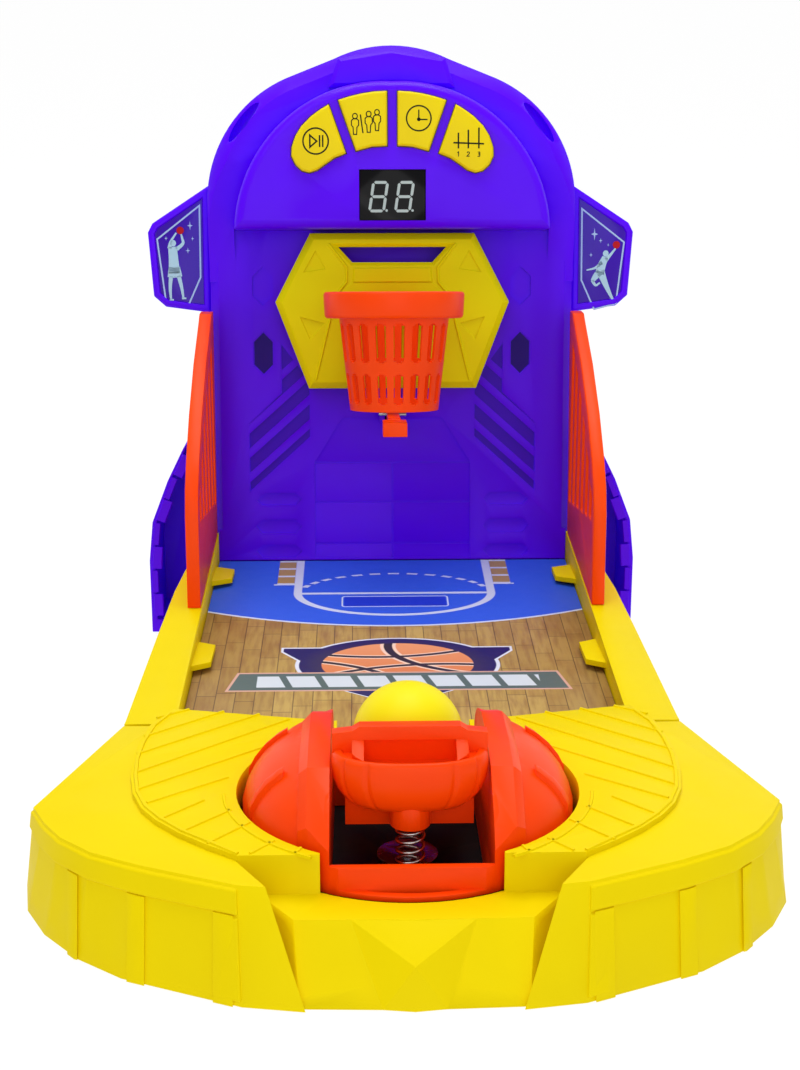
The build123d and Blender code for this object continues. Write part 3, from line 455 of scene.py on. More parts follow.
@dataclass(frozen=True)
class Finish:
    """One plain finish: a moulding, a metal, a rubber or an ink.

    Attributes:
        name: the material's name.
        colour: main colour.
        shade: colour the slow tone leans towards.
        roughness: middle roughness.
        spread: how far the roughness wanders.
        grain: grain cycles per metre.
        relief: bump strength of the grain.
        metallic: 1 for metals.
        coat: strength of a clear gloss over the colour.
        glow: strength of light given off.
        shine: how strongly the bare surface mirrors, 0.5 for ordinary plastic.
    """

    name: str
    colour: Colour
    shade: Colour
    roughness: float = 0.34
    spread: float = 0.06
    grain: float = 1500.0
    relief: float = 0.05
    metallic: float = 0.0
    coat: float = 0.0
    glow: float = 0.0
    shine: float = 0.14

    def build(self) -> bpy.types.Material:
        """The material, made on first use."""
        made = bpy.data.materials.get(self.name)
        if made:
            return made
        shade = Shade(self.name)
        rough, height, slow = shade.moulding(self.grain, self.roughness, self.spread)
        colour = shade.mix(slow, self.colour, self.shade)
        shade.tree.links.new(colour, shade.shader.inputs["Base Color"])
        shade.tree.links.new(rough.socket, shade.shader.inputs["Roughness"])
        shade.shader.inputs["Metallic"].default_value = self.metallic
        shade.shader.inputs["Specular IOR Level"].default_value = self.shine
        shade.shader.inputs["Coat Weight"].default_value = self.coat
        shade.shader.inputs["Coat Roughness"].default_value = 0.12
        if self.glow:
            shade.tree.links.new(colour, shade.shader.inputs["Emission Color"])
            shade.shader.inputs["Emission Strength"].default_value = self.glow
        shade.bump(height, self.relief, 0.0002)
        return shade.material


class Plastic(Enum):
    """The finishes used on the machine."""

    LEMON = Finish("lemon_shell", tone(240, 216, 0), tone(234, 208, 0), 0.5, 0.07, shine=0.05)
    MUSTARD = Finish("board_yellow", tone(228, 216, 0), tone(220, 206, 0), 0.42, 0.06, shine=0.06)
    KEY = Finish("key_yellow", tone(234, 212, 4), tone(226, 200, 1), 0.36, 0.05)
    BALL = Finish("ball_yellow", tone(244, 230, 8), tone(240, 222, 4), 0.45, 0.04)
    ORANGE = Finish("orange_moulding", tone(252, 74, 0), tone(247, 62, 0), 0.36, 0.06)
    NET = Finish("net_orange", tone(252, 76, 0), tone(247, 66, 0), 0.4, 0.05)
    VIOLET = Finish("violet_shell", tone(90, 0, 252), tone(84, 0, 242), 0.34, 0.06, shine=0.09)
    GLOSS = Finish("violet_gloss", tone(90, 0, 252), tone(84, 0, 242), 0.3, 0.05, coat=0.04, shine=0.1)
    # Painted shade: a dark violet for thin plates on the floors of the wall's sunk hexagons, standing in for
    # the shade inside them.
    SHADOW = Finish("violet_painted_recess_shade", tone(40, 0, 132), tone(32, 0, 108), 0.4, 0.06, shine=0.1)
    # Painted shade: a darker violet for thin plates on the floors of the sunk slat fields, standing in for
    # the shade in those recesses.
    PAINTED_SLAT_SHADE = Finish("violet_painted_slat_shade", tone(66, 0, 200), tone(58, 0, 180), 0.4, 0.06, shine=0.1)
    RUBBER = Finish("foot_rubber", tone(34, 34, 36), tone(24, 24, 26), 0.8, 0.08, relief=0.3)
    STEEL = Finish("plated_steel", tone(190, 190, 195), tone(160, 160, 168), 0.28, 0.1, metallic=1.0)
    WIRE = Finish("spring_wire", tone(205, 200, 196), tone(180, 172, 168), 0.22, 0.06, metallic=1.0)
    INK = Finish("key_ink", tone(28, 34, 14), tone(18, 22, 8), 0.5, 0.04)
    LABEL = Finish("label_violet", tone(60, 0, 178), tone(46, 0, 146), 0.4, 0.04, coat=0.3)
    PALE = Finish("label_pale", tone(168, 196, 232), tone(160, 184, 226), 0.45, 0.04)
    FIGURE = Finish("label_figure", tone(174, 208, 226), tone(160, 198, 216), 0.45, 0.04)
    RED = Finish("label_red", tone(196, 18, 30), tone(150, 10, 26), 0.45, 0.04)
    BLACK = Finish("black_plastic", tone(26, 26, 28), tone(18, 18, 20), 0.5, 0.08)
    # Painted glow: the grey digit segments give off a faint light of their own, which brightens them behind
    # the dark window.
    SEGMENT = Finish("segment_grey_painted_glow", tone(176, 190, 190), tone(150, 166, 166), 0.4, 0.05, glow=0.1)
    BOARD = Finish("board_green", tone(20, 84, 44), tone(14, 66, 34), 0.4, 0.06, coat=0.3)
    CELL = Finish("cell_sleeve", tone(44, 46, 54), tone(32, 34, 40), 0.3, 0.06, coat=0.4)

    def build(self) -> bpy.types.Material:
        """The finish's material."""
        return self.value.build()


def smoked_glass() -> bpy.types.Material:
    """The dark window over the digits: near black, glossy."""
    shade = Shade("smoked_window")
    rough, height, slow = shade.moulding(900.0, 0.1, 0.03)
    colour = shade.mix(slow, tone(12, 12, 14), tone(20, 20, 22))
    shade.tree.links.new(colour, shade.shader.inputs["Base Color"])
    shade.tree.links.new(rough.socket, shade.shader.inputs["Roughness"])
    shade.shader.inputs["Specular IOR Level"].default_value = 0.12
    shade.bump(height, 0.02, 0.0001)
    return shade.material


# ---------------------------------------------------------------- pieces


def add_piece(name: str, surface: Surface, place: Callable[[np.ndarray], np.ndarray],
              material: bpy.types.Material, body: str, smooth: bool = False) -> bpy.types.Object:
    """Makes a mesh of a surface and rides it on a body.

    Args:
        name: the object's name.
        surface: points and faces in the axes it is drawn in.
        place: turns those points into metres in the object's frame.
        material: its finish.
        body: the moving body it rides on.
        smooth: whether its faces are shaded as one.

    Returns:
        The object.
    """
    mesh = bpy.data.meshes.new(name)
    mesh.from_pydata(place(surface.points).tolist(), [], surface.faces)
    mesh.polygons.foreach_set("use_smooth", np.full(len(mesh.polygons), smooth))
    mesh.materials.append(material)
    mesh.validate()
    piece = bpy.data.objects.new(name, mesh)
    bpy.context.scene.collection.objects.link(piece)
    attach(piece, body)
    log.info("piece %s on %s: %d points", name, body, len(surface.points))
    return piece


def soften(piece: bpy.types.Object, width: float, angle: float = 24.0) -> bpy.types.Object:
    """Rounds a new piece's edges that turn more than an angle, by a width in millimetres."""
    piece.data.polygons.foreach_set("use_smooth", np.ones(len(piece.data.polygons), bool))
    edge = piece.modifiers.new("edge", "BEVEL")
    edge.width, edge.segments, edge.harden_normals = width * MM, 2, True
    edge.limit_method, edge.angle_limit = "ANGLE", math.radians(angle)
    return piece


def dress(nodes: Sequence[str], material: bpy.types.Material, soft: float = 0.35, angle: float = 24.0,
          joined: bool = True) -> None:
    """Gives CAD nodes a finish and small rounded edges.

    Args:
        nodes: the nodes' names.
        material: their finish.
        soft: width of the rounded edges, or 0 for none.
        angle: edges that turn more than this many degrees are rounded.
        joined: whether neighbouring triangles of one flat face are joined first.
    """
    for name in nodes:
        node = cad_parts[name]
        node.data.materials.clear()
        node.data.materials.append(material)
        node.data.polygons.foreach_set("use_smooth", np.ones(len(node.data.polygons), bool))
        weld = node.modifiers.new("weld", "WELD")
        weld.merge_threshold = 1e-5
        if joined:
            flat = node.modifiers.new("flat", "DECIMATE")
            flat.decimate_type = "DISSOLVE"
            flat.angle_limit = math.radians(0.4)
        edge = node.modifiers.new("edge", "BEVEL")
        edge.width = max(soft, 0.05) * MM
        edge.segments = 2 if soft else 1
        edge.limit_method = "ANGLE"
        edge.angle_limit = math.radians(angle)
        edge.harden_normals = True
        log.info("node %s dressed in %s", name, material.name)


# ---------------------------------------------------------------- base and court


@dataclass
class Base:
    """The yellow base with its launcher ring, skirts and feet."""

    plate_level: float = 38.0
    strip_width: float = 1.5
    strip_height: float = 0.55
    strips: tuple = (
        ((-97.2, -60.6), (-85.4, -51.8)), ((-99.6, -80.0), (-71.4, -54.4)), ((-100.0, -97.2), (-57.0, -57.8)),
        ((-98.2, -114.4), (-45.0, -63.6)), ((-95.6, -129.4), (-52.6, -91.0)),
        ((-90.8, -140.9), (-64.4, -119.6)), ((-84.9, -154.4), (-71.4, -139.2)),
        ((-76.5, -164.2), (-61.4, -147.4)), ((-67.0, -173.2), (-54.2, -157.6)),
        ((-52.5, -181.0), (-45.2, -171.8)), ((-38.0, -181.4), (-36.2, -177.2)),
    )
    ring_side: tuple = ((-56.5, -181.0), (-66.3, -172.2), (-76.6, -163.1), (-84.9, -153.2), (-90.9, -143.8),
                        (-95.3, -131.8), (-98.0, -117.0), (-99.4, -101.7), (-99.2, -85.6), (-97.2, -69.0),
                        (-92.4, -55.6))
    skirt_low: tuple = ((54, -211), (72, -203), (94, -193), (110, -180.5), (124, -164), (133, -147),
                        (137, -128))
    skirt_top: tuple = ((55.5, -198.5), (69, -192.5), (87, -184.5), (105, -174.5), (117, -163),
                        (124.5, -151.5), (130.5, -139))
    ring_middle: float = -128.0
    ring_radius: float = 65.2
    sink: float = 0.3
    skirt_foot: float = 0.6
    skirt_height: float = 35.4
    skirt_proud: float = 0.9

    def hatch(self) -> Surface:
        """Slanting raised strips on both wings of the ring, with a rim outside and an arc inside."""
        low, high = self.plate_level - self.sink, self.plate_level + self.strip_height
        one = together([ribbon(s, self.strip_width, low, high, top=0.55) for s in self.strips])
        one = one + ribbon(self.ring_side, 1.8, low, high + 0.1, top=0.6)
        bend = arc(0, self.ring_middle, self.ring_radius, self.ring_radius, 186, 240, 40)
        one = one + ribbon(bend, self.strip_width, low, high, top=0.55)
        return one + mirrored(one)

    def band(self, low: Path, top: Path, foot: float, head: float) -> Surface:
        """A proud band on a flared side.

        A point at share t up the side is the low outline plus t times the way to the top outline. The
        band's section has four corners: at the foot and the head, each a little inside the side and
        standing proud of it along the outline's normal.

        Args:
            low: the side's outline on the table.
            top: the side's outline at the top.
            foot: share at which the band starts.
            head: share at which it ends.

        Returns:
            The closed band.
        """
        a, b = np.asarray(low, float), np.asarray(top, float)
        run = unit(np.gradient(a, axis=0))
        out = np.stack([run[:, 1], -run[:, 0]], -1)
        rows = []
        proud = self.skirt_proud
        for share, step in ((head, -0.6), (head - 0.03, proud), (foot + 0.02, proud), (foot, -0.6)):
            flat = a + (b - a) * share + out * step
            rows.append(np.column_stack([flat, np.full(len(a), self.skirt_foot + self.skirt_height * share)]))
        points = np.stack(rows, 1).reshape(-1, 3)
        last = 4 * (len(a) - 1)
        faces = [f[::-1] for f in net_faces(len(a), 4, False, True)]
        return Surface(points, faces + [[3, 2, 1, 0], [last, last + 1, last + 2, last + 3]])

    def skirt(self) -> Surface:
        """The proud upper band of both skirts, and the short upright by the prow."""
        one = self.band(self.skirt_low, self.skirt_top, 0.74, 0.985)
        near = [self.skirt_low[0], (61, -207.9)], [self.skirt_top[0], (60.6, -196.2)]
        one = one + self.band(near[0], near[1], 0.03, 0.75)
        return one + mirrored(one)

    def build(self) -> None:
        """Makes the strips and dresses the base's nodes."""
        lemon = Plastic.LEMON.build()
        add_piece("ring_strips", self.hatch(), level, lemon, "machine")
        soften(add_piece("skirt_bands", self.skirt(), level, lemon, "machine"), 0.5)
        dress(["base_shell"], lemon, 1.2, 18.0)
        dress(["base_bottom_cover"], lemon, 0.3)
        dress(["rubber_feet"], Plastic.RUBBER.build(), 0.4)
        dress(["base_screws", "tray_screws", "turntable_washer", "turntable_screw"],
              Plastic.STEEL.build(), 0.1)


@dataclass
class Court:
    """The printed court board."""

    blue_centre: float = 281.0
    blue_radius: float = 224.0
    key_foot: float = 99.0
    plank: float = 8.2
    board: float = 27.0

    def ellipse(self, x: Num, y: Num, a: float, b: float) -> Num:
        """Distance outside an ellipse: its scaled radius less one, times the short radius."""
        far = (x / a).op("POWER", 2.0) + (y / b).op("POWER", 2.0)
        return (far.op("SQRT") - 1.0) * min(a, b)

    def wood(self, shade: Shade) -> bpy.types.NodeSocket:
        """Planks with a tone of their own, a long grain, and dark joints."""
        across = (shade.x / self.plank) + 0.5
        number = across.op("FLOOR")
        slide = (number * 7.31).op("SINE") * 61.0
        along = (shade.y + slide) / self.board
        piece = along.op("FLOOR")
        chance = ((number * 12.9898 + piece * 78.233).op("SINE") * 43758.5).op("FRACT")
        grain = shade.noise(420.0, 6.0, (1.0, 0.12, 1.0))
        patch = shade.noise(60.0, 3.0)
        colour = shade.mix(chance, tone(176, 142, 64), tone(204, 172, 90))
        colour = shade.mix(((grain - 0.42) * 2.6).op("MAXIMUM", 0.0) * 0.8, colour, tone(134, 90, 40))
        colour = shade.mix(((patch - 0.5) * 3.0).op("MAXIMUM", 0.0) * 0.5, colour, tone(150, 98, 44))
        side = (abs(across.op("FRACT") - 0.5) - 0.475) * self.plank
        end = (abs(along.op("FRACT") - 0.5) - 0.493) * self.board
        seam = (side * -1.0).inside(0.2).op("MAXIMUM", (end * -1.0).inside(0.2))
        colour = shade.mix(((abs(shade.x) - 40.0) / 60.0).op("MAXIMUM", 0.0) * 0.7, colour, tone(128, 88, 44))
        return shade.mix(seam * 0.75, colour, tone(70, 44, 20))

    def markings(self, shade: Shade, wood: bpy.types.NodeSocket) -> bpy.types.NodeSocket:
        """The blue end with its white lines and tan blocks, over the planks."""
        x, y = shade.x, shade.y
        wide = abs(x)
        white, blue = tone(214, 228, 252), tone(36, 88, 232)
        up = y - self.key_foot
        rim = ((x.op("POWER", 2.0) + (y - self.blue_centre).op("POWER", 2.0)).op("SQRT")) - self.blue_radius
        speck = shade.noise(2600.0, 2.0)
        field_blue = shade.mix(speck, blue, tone(56, 108, 244))
        colour = shade.mix(rim.inside(), wood, field_blue)
        colour = shade.mix((abs(rim) - 0.75).inside(), colour, white)
        low = up.op("MINIMUM", 0.0)
        outer, inner = self.ellipse(x, low, 49.6, 29.8), self.ellipse(x, low, 45.6, 27.4)
        lane = (outer.op("MAXIMUM", inner * -1.0)).inside()
        line = (abs(up + 0.6) - 1.2).op("MAXIMUM", wide - 46.0).inside()
        turn = (up / 26.4).op("ARCTAN2", x / 47.5)
        beat = abs(((turn - math.pi / 2) * (15.6 / math.pi) + 0.5).op("FRACT") - 0.5) - 0.29
        dash = abs(self.ellipse(x, up, 46.6, 26.2)) - 0.85
        dashes = dash.op("MAXIMUM", beat * 6.0).op("MAXIMUM", (up - 7.0) * -1.0).inside()
        block = (abs(wide - 54.0) - 4.3).op("MAXIMUM", (y - 111.0) * -1.0)
        rung = (abs(((y - 111.6) / 10.6).op("FRACT") - 0.5) - 0.4) * 10.6
        colour = shade.mix(block.inside(), colour, tone(178, 148, 78))
        colour = shade.mix(block.op("MAXIMUM", rung * -1.0).inside(), colour, white)
        cap = (abs(y - 110.6) - 0.7).op("MAXIMUM", abs(wide - 54.3) - 5.6)
        colour = shade.mix(cap.inside(), colour, white)
        for mask in (lane, line, dashes):
            colour = shade.mix(mask, colour, white)
        dx, dy = (wide - 24.0).op("MAXIMUM", 0.0), (abs(y - 87.6) - 5.0).op("MAXIMUM", 0.0)
        badge = (dx.op("POWER", 2.0) + dy.op("POWER", 2.0)).op("SQRT") - 1.6
        colour = shade.mix((abs(badge) - 0.35).inside(), colour, white)
        return shade.mix((badge + 0.9).inside(), colour, tone(16, 58, 214))

    def emblem(self, shade: Shade, under: bpy.types.NodeSocket) -> bpy.types.NodeSocket:
        """A round ball on a navy ground with side points, over a plain striped band."""
        x, y = shade.x + 0.4, shade.y - 13.0
        wide = abs(x)
        white, navy = tone(222, 228, 244), tone(26, 20, 92)
        ear = (y - 18.0).op("MAXIMUM", ((wide - 51.4) * 1.27 + 15.0 - y) * 0.62)
        ear = ear.op("MAXIMUM", (wide - 30.0) * -1.0).op("MAXIMUM", wide - 51.0)
        tip = ((y + 33.0) * -1.0).op("MAXIMUM", wide + (y * -1.6) - 66.0).op("MAXIMUM", y + 16.0)
        badge = self.ellipse(x, y, 43.6, 28.4)
        ground = badge.op("MINIMUM", ear).op("MINIMUM", tip)
        colour = shade.mix((ground - 1.1).inside(), under, white)
        glow = ((badge + 9.0) / 9.0).op("MAXIMUM", 0.0).op("MINIMUM", 1.0)
        colour = shade.mix(ground.inside(), colour, shade.mix(glow, tone(54, 46, 74), navy))
        ball = self.ellipse(x, y, 33.6, 23.2)
        tint = ((y + 24.0) / 48.0).op("MAXIMUM", 0.0).op("MINIMUM", 1.0)
        skin = shade.mix(tint, tone(214, 112, 52), tone(240, 160, 104))
        curves = None
        for cx, cy, a, b, width in ((62.0, 20.0, 66.0, 34.0, 1.0), (-58.0, -34.0, 64.0, 40.0, 1.0),
                                    (-8.0, 66.0, 78.0, 58.0, 1.0), (20.0, -62.0, 88.0, 62.0, 1.0)):
            seam = abs(self.ellipse(x - cx, y - cy, a, b)) - width
            curves = seam if curves is None else curves.op("MINIMUM", seam)
        skin = shade.mix((curves - 0.8).inside(), skin, tone(248, 214, 190))
        skin = shade.mix(curves.inside(), skin, tone(44, 34, 40))
        colour = shade.mix(ball.inside(), colour, skin)
        slant = wide + y * 0.22
        band = (abs(y + 17.6) - 8.4).op("MAXIMUM", slant - 67.0)
        colour = shade.mix((band - 1.2).inside(), colour, tone(214, 168, 150))
        colour = shade.mix(band.inside(), colour, tone(84, 104, 100))
        stripe = abs((((x + y * 0.3) / 15.4) + 0.5).op("FRACT") - 0.5) - 0.4
        words = (stripe * 15.4).op("MAXIMUM", abs(y + 17.6) - 5.6).op("MAXIMUM", wide - 61.0)
        return shade.mix(words.inside(), colour, tone(212, 222, 230))

    def print(self) -> bpy.types.Material:
        """The printed board: planks, blue end and emblem, under a satin varnish."""
        shade = Shade("court_print")
        colour = self.emblem(shade, self.markings(shade, self.wood(shade)))
        rough, height, _ = shade.moulding(2200.0, 0.5, 0.08)
        shade.tree.links.new(colour, shade.shader.inputs["Base Color"])
        shade.tree.links.new(rough.socket, shade.shader.inputs["Roughness"])
        shade.bump(height, 0.04, 0.0001)
        return shade.material

    def build(self) -> None:
        """Dresses the board."""
        dress(["court_board"], self.print(), 0.1)


# ---------------------------------------------------------------- launcher


@dataclass
class Launcher:
    """The turning dome, the finger lever with its coil spring, and the ball."""

    spring_y: float = -158.0
    spring_foot: float = 9.0
    spring_top: float = 37.3
    spring_radius: float = 4.6
    wire: float = 0.62
    turns: float = 6.5
    press_keep: float = 0.55
    bowl_middle: float = -152.6
    bowl_half: float = 26.6
    bowl_front: float = 15.6
    bowl_back: float = 3.2
    bowl_profile: tuple = ((0.0, 43.0), (0.5, 43.1), (0.72, 44.2), (0.84, 46.6), (0.93, 50.0), (0.985, 54.0),
                           (1.0, 58.0), (0.985, 61.4), (0.95, 62.6), (0.88, 62.7), (0.85, 61.9), (0.84, 58.0),
                           (0.0, 57.4))
    seams: tuple = (214.0, 241.0, 299.0, 326.0)
    seam_depth: float = 0.035

    def bowl(self) -> Surface:
        """The finger bowl: a rounded plan carried through a profile of sizes and heights.

        The plan is a circle drawn out to the half width across, the front reach and the back reach, its
        cosine and sine raised to the power 0.8. Each seam draws the plan in where the angle is within
        three degrees of it, by the seam depth times a bell of the distance.
        """
        angle = np.radians(np.arange(0, 360, 1.5))
        across = np.sign(np.cos(angle)) * np.abs(np.cos(angle)) ** 0.8 * self.bowl_half
        reach = np.where(np.sin(angle) < 0, self.bowl_front, self.bowl_back)
        along = np.sign(np.sin(angle)) * np.abs(np.sin(angle)) ** 0.8 * reach
        bells = (np.exp(-((np.degrees(angle) - seam) / 2.0) ** 2) for seam in self.seams)
        groove = sum(bells) * self.seam_depth
        size, height = np.asarray(self.bowl_profile, float).T
        share = size[None, :] * (1 - groove[:, None] * (height < 62)[None, :])
        share = np.maximum(share, 0.002)
        points = np.stack([across[:, None] * share, self.bowl_middle + along[:, None] * share,
                           np.broadcast_to(height, share.shape)], -1)
        rows, cols = share.shape
        ids = np.arange(rows) * cols
        faces = net_faces(rows, cols, True, False)
        return Surface(points.reshape(-1, 3), faces + [ids[::-1].tolist(), (ids + cols - 1).tolist()])

    def coil(self) -> Surface:
        """A compression spring: a wire that climbs evenly, with a flat turn at either end."""
        t = np.linspace(0, 1, 420)
        angle = 2 * np.pi * (self.turns + 2) * t
        rise = np.interp(angle / (2 * np.pi), [0, 1, self.turns + 1, self.turns + 2], [0, 0.06, 0.94, 1])
        low, high = self.spring_foot + self.wire, self.spring_top - self.wire
        path = np.column_stack([self.spring_radius * np.cos(angle),
                                self.spring_y + self.spring_radius * np.sin(angle),
                                low + (high - low) * rise])
        return tube(path, self.wire)

    def build(self) -> None:
        """Makes the spring and dresses the launcher's nodes."""
        orange = Plastic.ORANGE.build()
        spring = add_piece("coil_spring", self.coil(), level, Plastic.WIRE.build(), "turntable",
                           True)
        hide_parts("launch_spring")
        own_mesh(spring)
        dress(["turntable_dome"], orange, 0.7, 20.0)
        # The tray is dressed black to keep the well inside the dome dark: painted shade for the deep well.
        dress(["turntable_base"], Plastic.BLACK.build(), 0.3)
        dress(["launch_lever"], orange, 0.6, 20.0)
        add_piece("finger_bowl", self.bowl(), level, orange, "lever", True)
        dress(["lever_axle"], Plastic.STEEL.build(), 0.1)
        dress(["ball"], Plastic.BALL.build(), 0.0, 60.0)


# ---------------------------------------------------------------- tower


@dataclass
class Tower:
    """The violet tower: wall, shells, buttresses and side nets."""

    recess: float = -1.16
    # Outline of the darker plate laid in each sunk hexagon as painted shade.
    painted_shade_hexagon: tuple = ((65.45, 96.6), (70.1, 101.3), (70.1, 112.7), (65.45, 117.4), (60.8, 112.7),
                           (60.8, 101.3))
    slat_field: tuple = ((42.4, 64.4), (73.1, 36.8), (73.1, 70.8), (56.2, 86.8), (56.2, 111.2),
                         (42.4, 92.8))
    flank_edge: tuple = ((127.2, 8.0), (127.2, 40.0), (124.9, 60.6), (116.4, 82.2), (108.0, 99.0))
    flank_face: float = 159.9
    notch_gap: float = 13.0
    notch_space: float = 1.2
    notch_widths: tuple = (5.4, 3.2)

    def painted_shade_plate(self, outline: Path) -> Surface:
        """A thin darker plate on the floor of a sunk field of the wall, on both sides: painted shade for the
        recess.
        """
        one = plate(outline, self.recess - 0.3, self.recess + 0.04)
        return one + mirrored(one)

    def flank(self, points: np.ndarray) -> np.ndarray:
        """Points (across, up, out) on the flanks' upright front face, as metres in the object's frame."""
        return np.column_stack([points[:, 0], self.flank_face - points[:, 2], points[:, 1]]) * MM

    def notches(self) -> Surface:
        """Short raised blocks down the front edge of each flank, every other one wider."""
        blocks = []
        run = np.asarray(self.flank_edge, float)
        far = np.concatenate([[0], np.cumsum(np.linalg.norm(np.diff(run, axis=0), axis=1))])
        for i, start in enumerate(np.arange(2.0, far[-1] - 8.0, self.notch_gap)):
            stops = (start, start + self.notch_gap - self.notch_space)
            ends = [[np.interp(t, far, run[:, c]) for c in (0, 1)] for t in stops]
            inward = self.notch_widths[i % 2]
            path = [(x - inward / 2 - 0.4, z) for x, z in ends]
            blocks.append(ribbon(path, inward, 0.0, 0.8, top=0.8))
        one = together(blocks)
        return one + mirrored(one)

    def build(self) -> None:
        """Dresses the tower's nodes."""
        violet = Plastic.VIOLET.build()
        # Darker violet plates on the sunk hexagons and slat fields: painted shade in the recesses.
        for name, outline, finish in (("wall_hexagons_painted_shade", self.painted_shade_hexagon, Plastic.SHADOW),
                                      ("slat_floors_painted_shade", self.slat_field, Plastic.PAINTED_SLAT_SHADE)):
            add_piece(name, self.painted_shade_plate(outline), WALL.place, finish.build(), "machine")
        add_piece("flank_notches", self.notches(), self.flank, violet, "machine")
        dress(["tower_front", "tower_back"], violet, 1.4)
        dress(["buttress_left", "buttress_right"], violet, 1.0)
        dress(["tower_screws", "score_pin", "battery_contacts"], Plastic.STEEL.build(), 0.1)
        dress(["net_panel_left", "net_panel_right"], Plastic.NET.build(), 0.7)
        dress(["battery_door", "score_bracket"], violet, 0.4)
        dress(["speaker", "battery_box", "power_switch_body", "power_switch_knob", "score_switch",
               "key_switches"], Plastic.BLACK.build(), 0.2)
        dress(["batteries"], Plastic.CELL.build(), 0.3)
        dress(["main_board"], Plastic.BOARD.build(), 0.1)


@dataclass
class Wings:
    """The two side wings with their framed labels."""

    face: float = -9.4
    step: float = 0.06
    border: float = 0.8
    left_frame: tuple = ((-97.4, 181.4), (-119.2, 164.6), (-115.4, 133.4), (-104.3, 130.6), (-97.5, 145.5))
    left_ball: tuple = (-107.4, 169.0)
    right_ball: tuple = (115.4, 161.4)
    left_limbs: tuple = (
        (((-111.5, 160.8), (-111.1, 154.5), (-110.8, 147.4)), (4.4, 4.8, 5.8)),
        (((-111.8, 150.5), (-112.5, 145.4)), (3.6, 3.6)), (((-109.6, 150.5), (-108.6, 145.6)), (3.4, 3.6)),
        (((-112.6, 146.0), (-113.1, 140.0), (-112.8, 134.4)), (2.1, 1.6, 1.0)),
        (((-113.4, 134.4), (-111.4, 134.0)), (1.2, 0.7)),
        (((-108.6, 146.2), (-107.3, 140.4), (-106.5, 135.2)), (2.1, 1.6, 1.0)),
        (((-107.2, 135.0), (-105.0, 134.8)), (1.2, 0.7)),
        (((-113.0, 160.0), (-112.3, 163.4), (-109.4, 167.8)), (2.2, 1.3, 0.8)),
        (((-109.4, 159.6), (-106.2, 162.4), (-106.4, 164.8), (-107.0, 167.2)), (2.0, 1.5, 1.2, 0.8)),
    )
    right_limbs: tuple = (
        (((109.9, 155.2), (108.2, 151.4), (106.9, 146.8)), (3.2, 4.0, 4.6)),
        (((110.2, 153.8), (112.6, 156.6), (115.0, 159.6)), (2.0, 1.3, 0.8)),
        (((108.2, 152.6), (104.8, 149.8), (100.2, 148.6)), (1.9, 1.2, 0.6)),
        (((107.0, 147.8), (104.8, 145.2), (103.2, 143.0)), (3.8, 3.0, 1.8)),
        (((103.2, 143.4), (105.0, 141.0), (107.2, 142.2)), (1.6, 1.2, 0.8)),
        (((107.4, 148.0), (109.6, 142.6), (112.2, 137.0), (114.4, 132.9)), (4.2, 3.0, 1.8, 1.0)),
    )
    left_stars: tuple = ((-102.4, 171.4, 1.4, 2.4), (-101.2, 164.9, 0.8, 1.1), (-114.7, 165.1, 0.8, 1.1),
                         (-103.7, 158.9, 1.2, 1.5))
    right_stars: tuple = ((104.1, 166.8, 1.8, 3.2), (107.3, 163.5, 0.9, 1.3), (111.2, 161.3, 0.6, 0.9),
                          (102.4, 156.3, 0.9, 1.2))

    def star(self, x: float, v: float, wide: float, tall: float) -> Surface:
        """A four-pointed star: eight corners, far and near in turn."""
        angle = np.arange(8) * np.pi / 4
        far = np.where(np.arange(8) % 2 == 0, 1.0, 0.26)
        outline = np.column_stack([x + wide * far * np.cos(angle), v + tall * far * np.sin(angle)])
        return plate(outline, self.face - self.step, self.face + self.step)

    def figure(self, limbs: tuple, head: tuple) -> Surface:
        """A plain player of smooth limbs with a round head."""
        low, high = self.face - self.step, self.face + 1.4 * self.step
        parts = [limb(path, widths, low, high) for path, widths in limbs]
        return together(parts + [plate(arc(*head, 1.45, 1.6), low, high)])

    def build(self) -> None:
        """Makes the labels' artwork and dresses the wings."""
        low, high = self.face - self.step, self.face + self.step
        right_frame = [(-x + 0.1, v - 1.9) for x, v in self.left_frame]
        for side, outline, limbs, head, ball, stars in (
                ("left", self.left_frame, self.left_limbs, (-111.1, 162.6), self.left_ball, self.left_stars),
                ("right", right_frame, self.right_limbs, (110.0, 157.0), self.right_ball, self.right_stars)):
            border = ribbon(outline, self.border, low, high, closed=True)
            lights = together([self.star(*s) for s in stars])
            disc = plate(arc(*ball, 1.9, 1.9), low, high + self.step)
            for name, surface, finish in (("border", border, Plastic.PALE), ("stars", lights, Plastic.PALE),
                                          ("player", self.figure(limbs, head), Plastic.FIGURE),
                                          ("ball", disc, Plastic.RED)):
                add_piece(f"label_{name}_{side}", surface, WALL.place, finish.build(), "machine")
        dress(["wing_left", "wing_right"], Plastic.VIOLET.build(), 0.9)
        dress(["wing_decal_left", "wing_decal_right"], Plastic.LABEL.build(), 0.05)


# ---------------------------------------------------------------- console


class Key(Enum):
    """The console's four keys: the body each one moves with."""

    PLAY = "play"
    PLAYERS = "players"
    TIMER = "timer"
    LEVEL = "level"


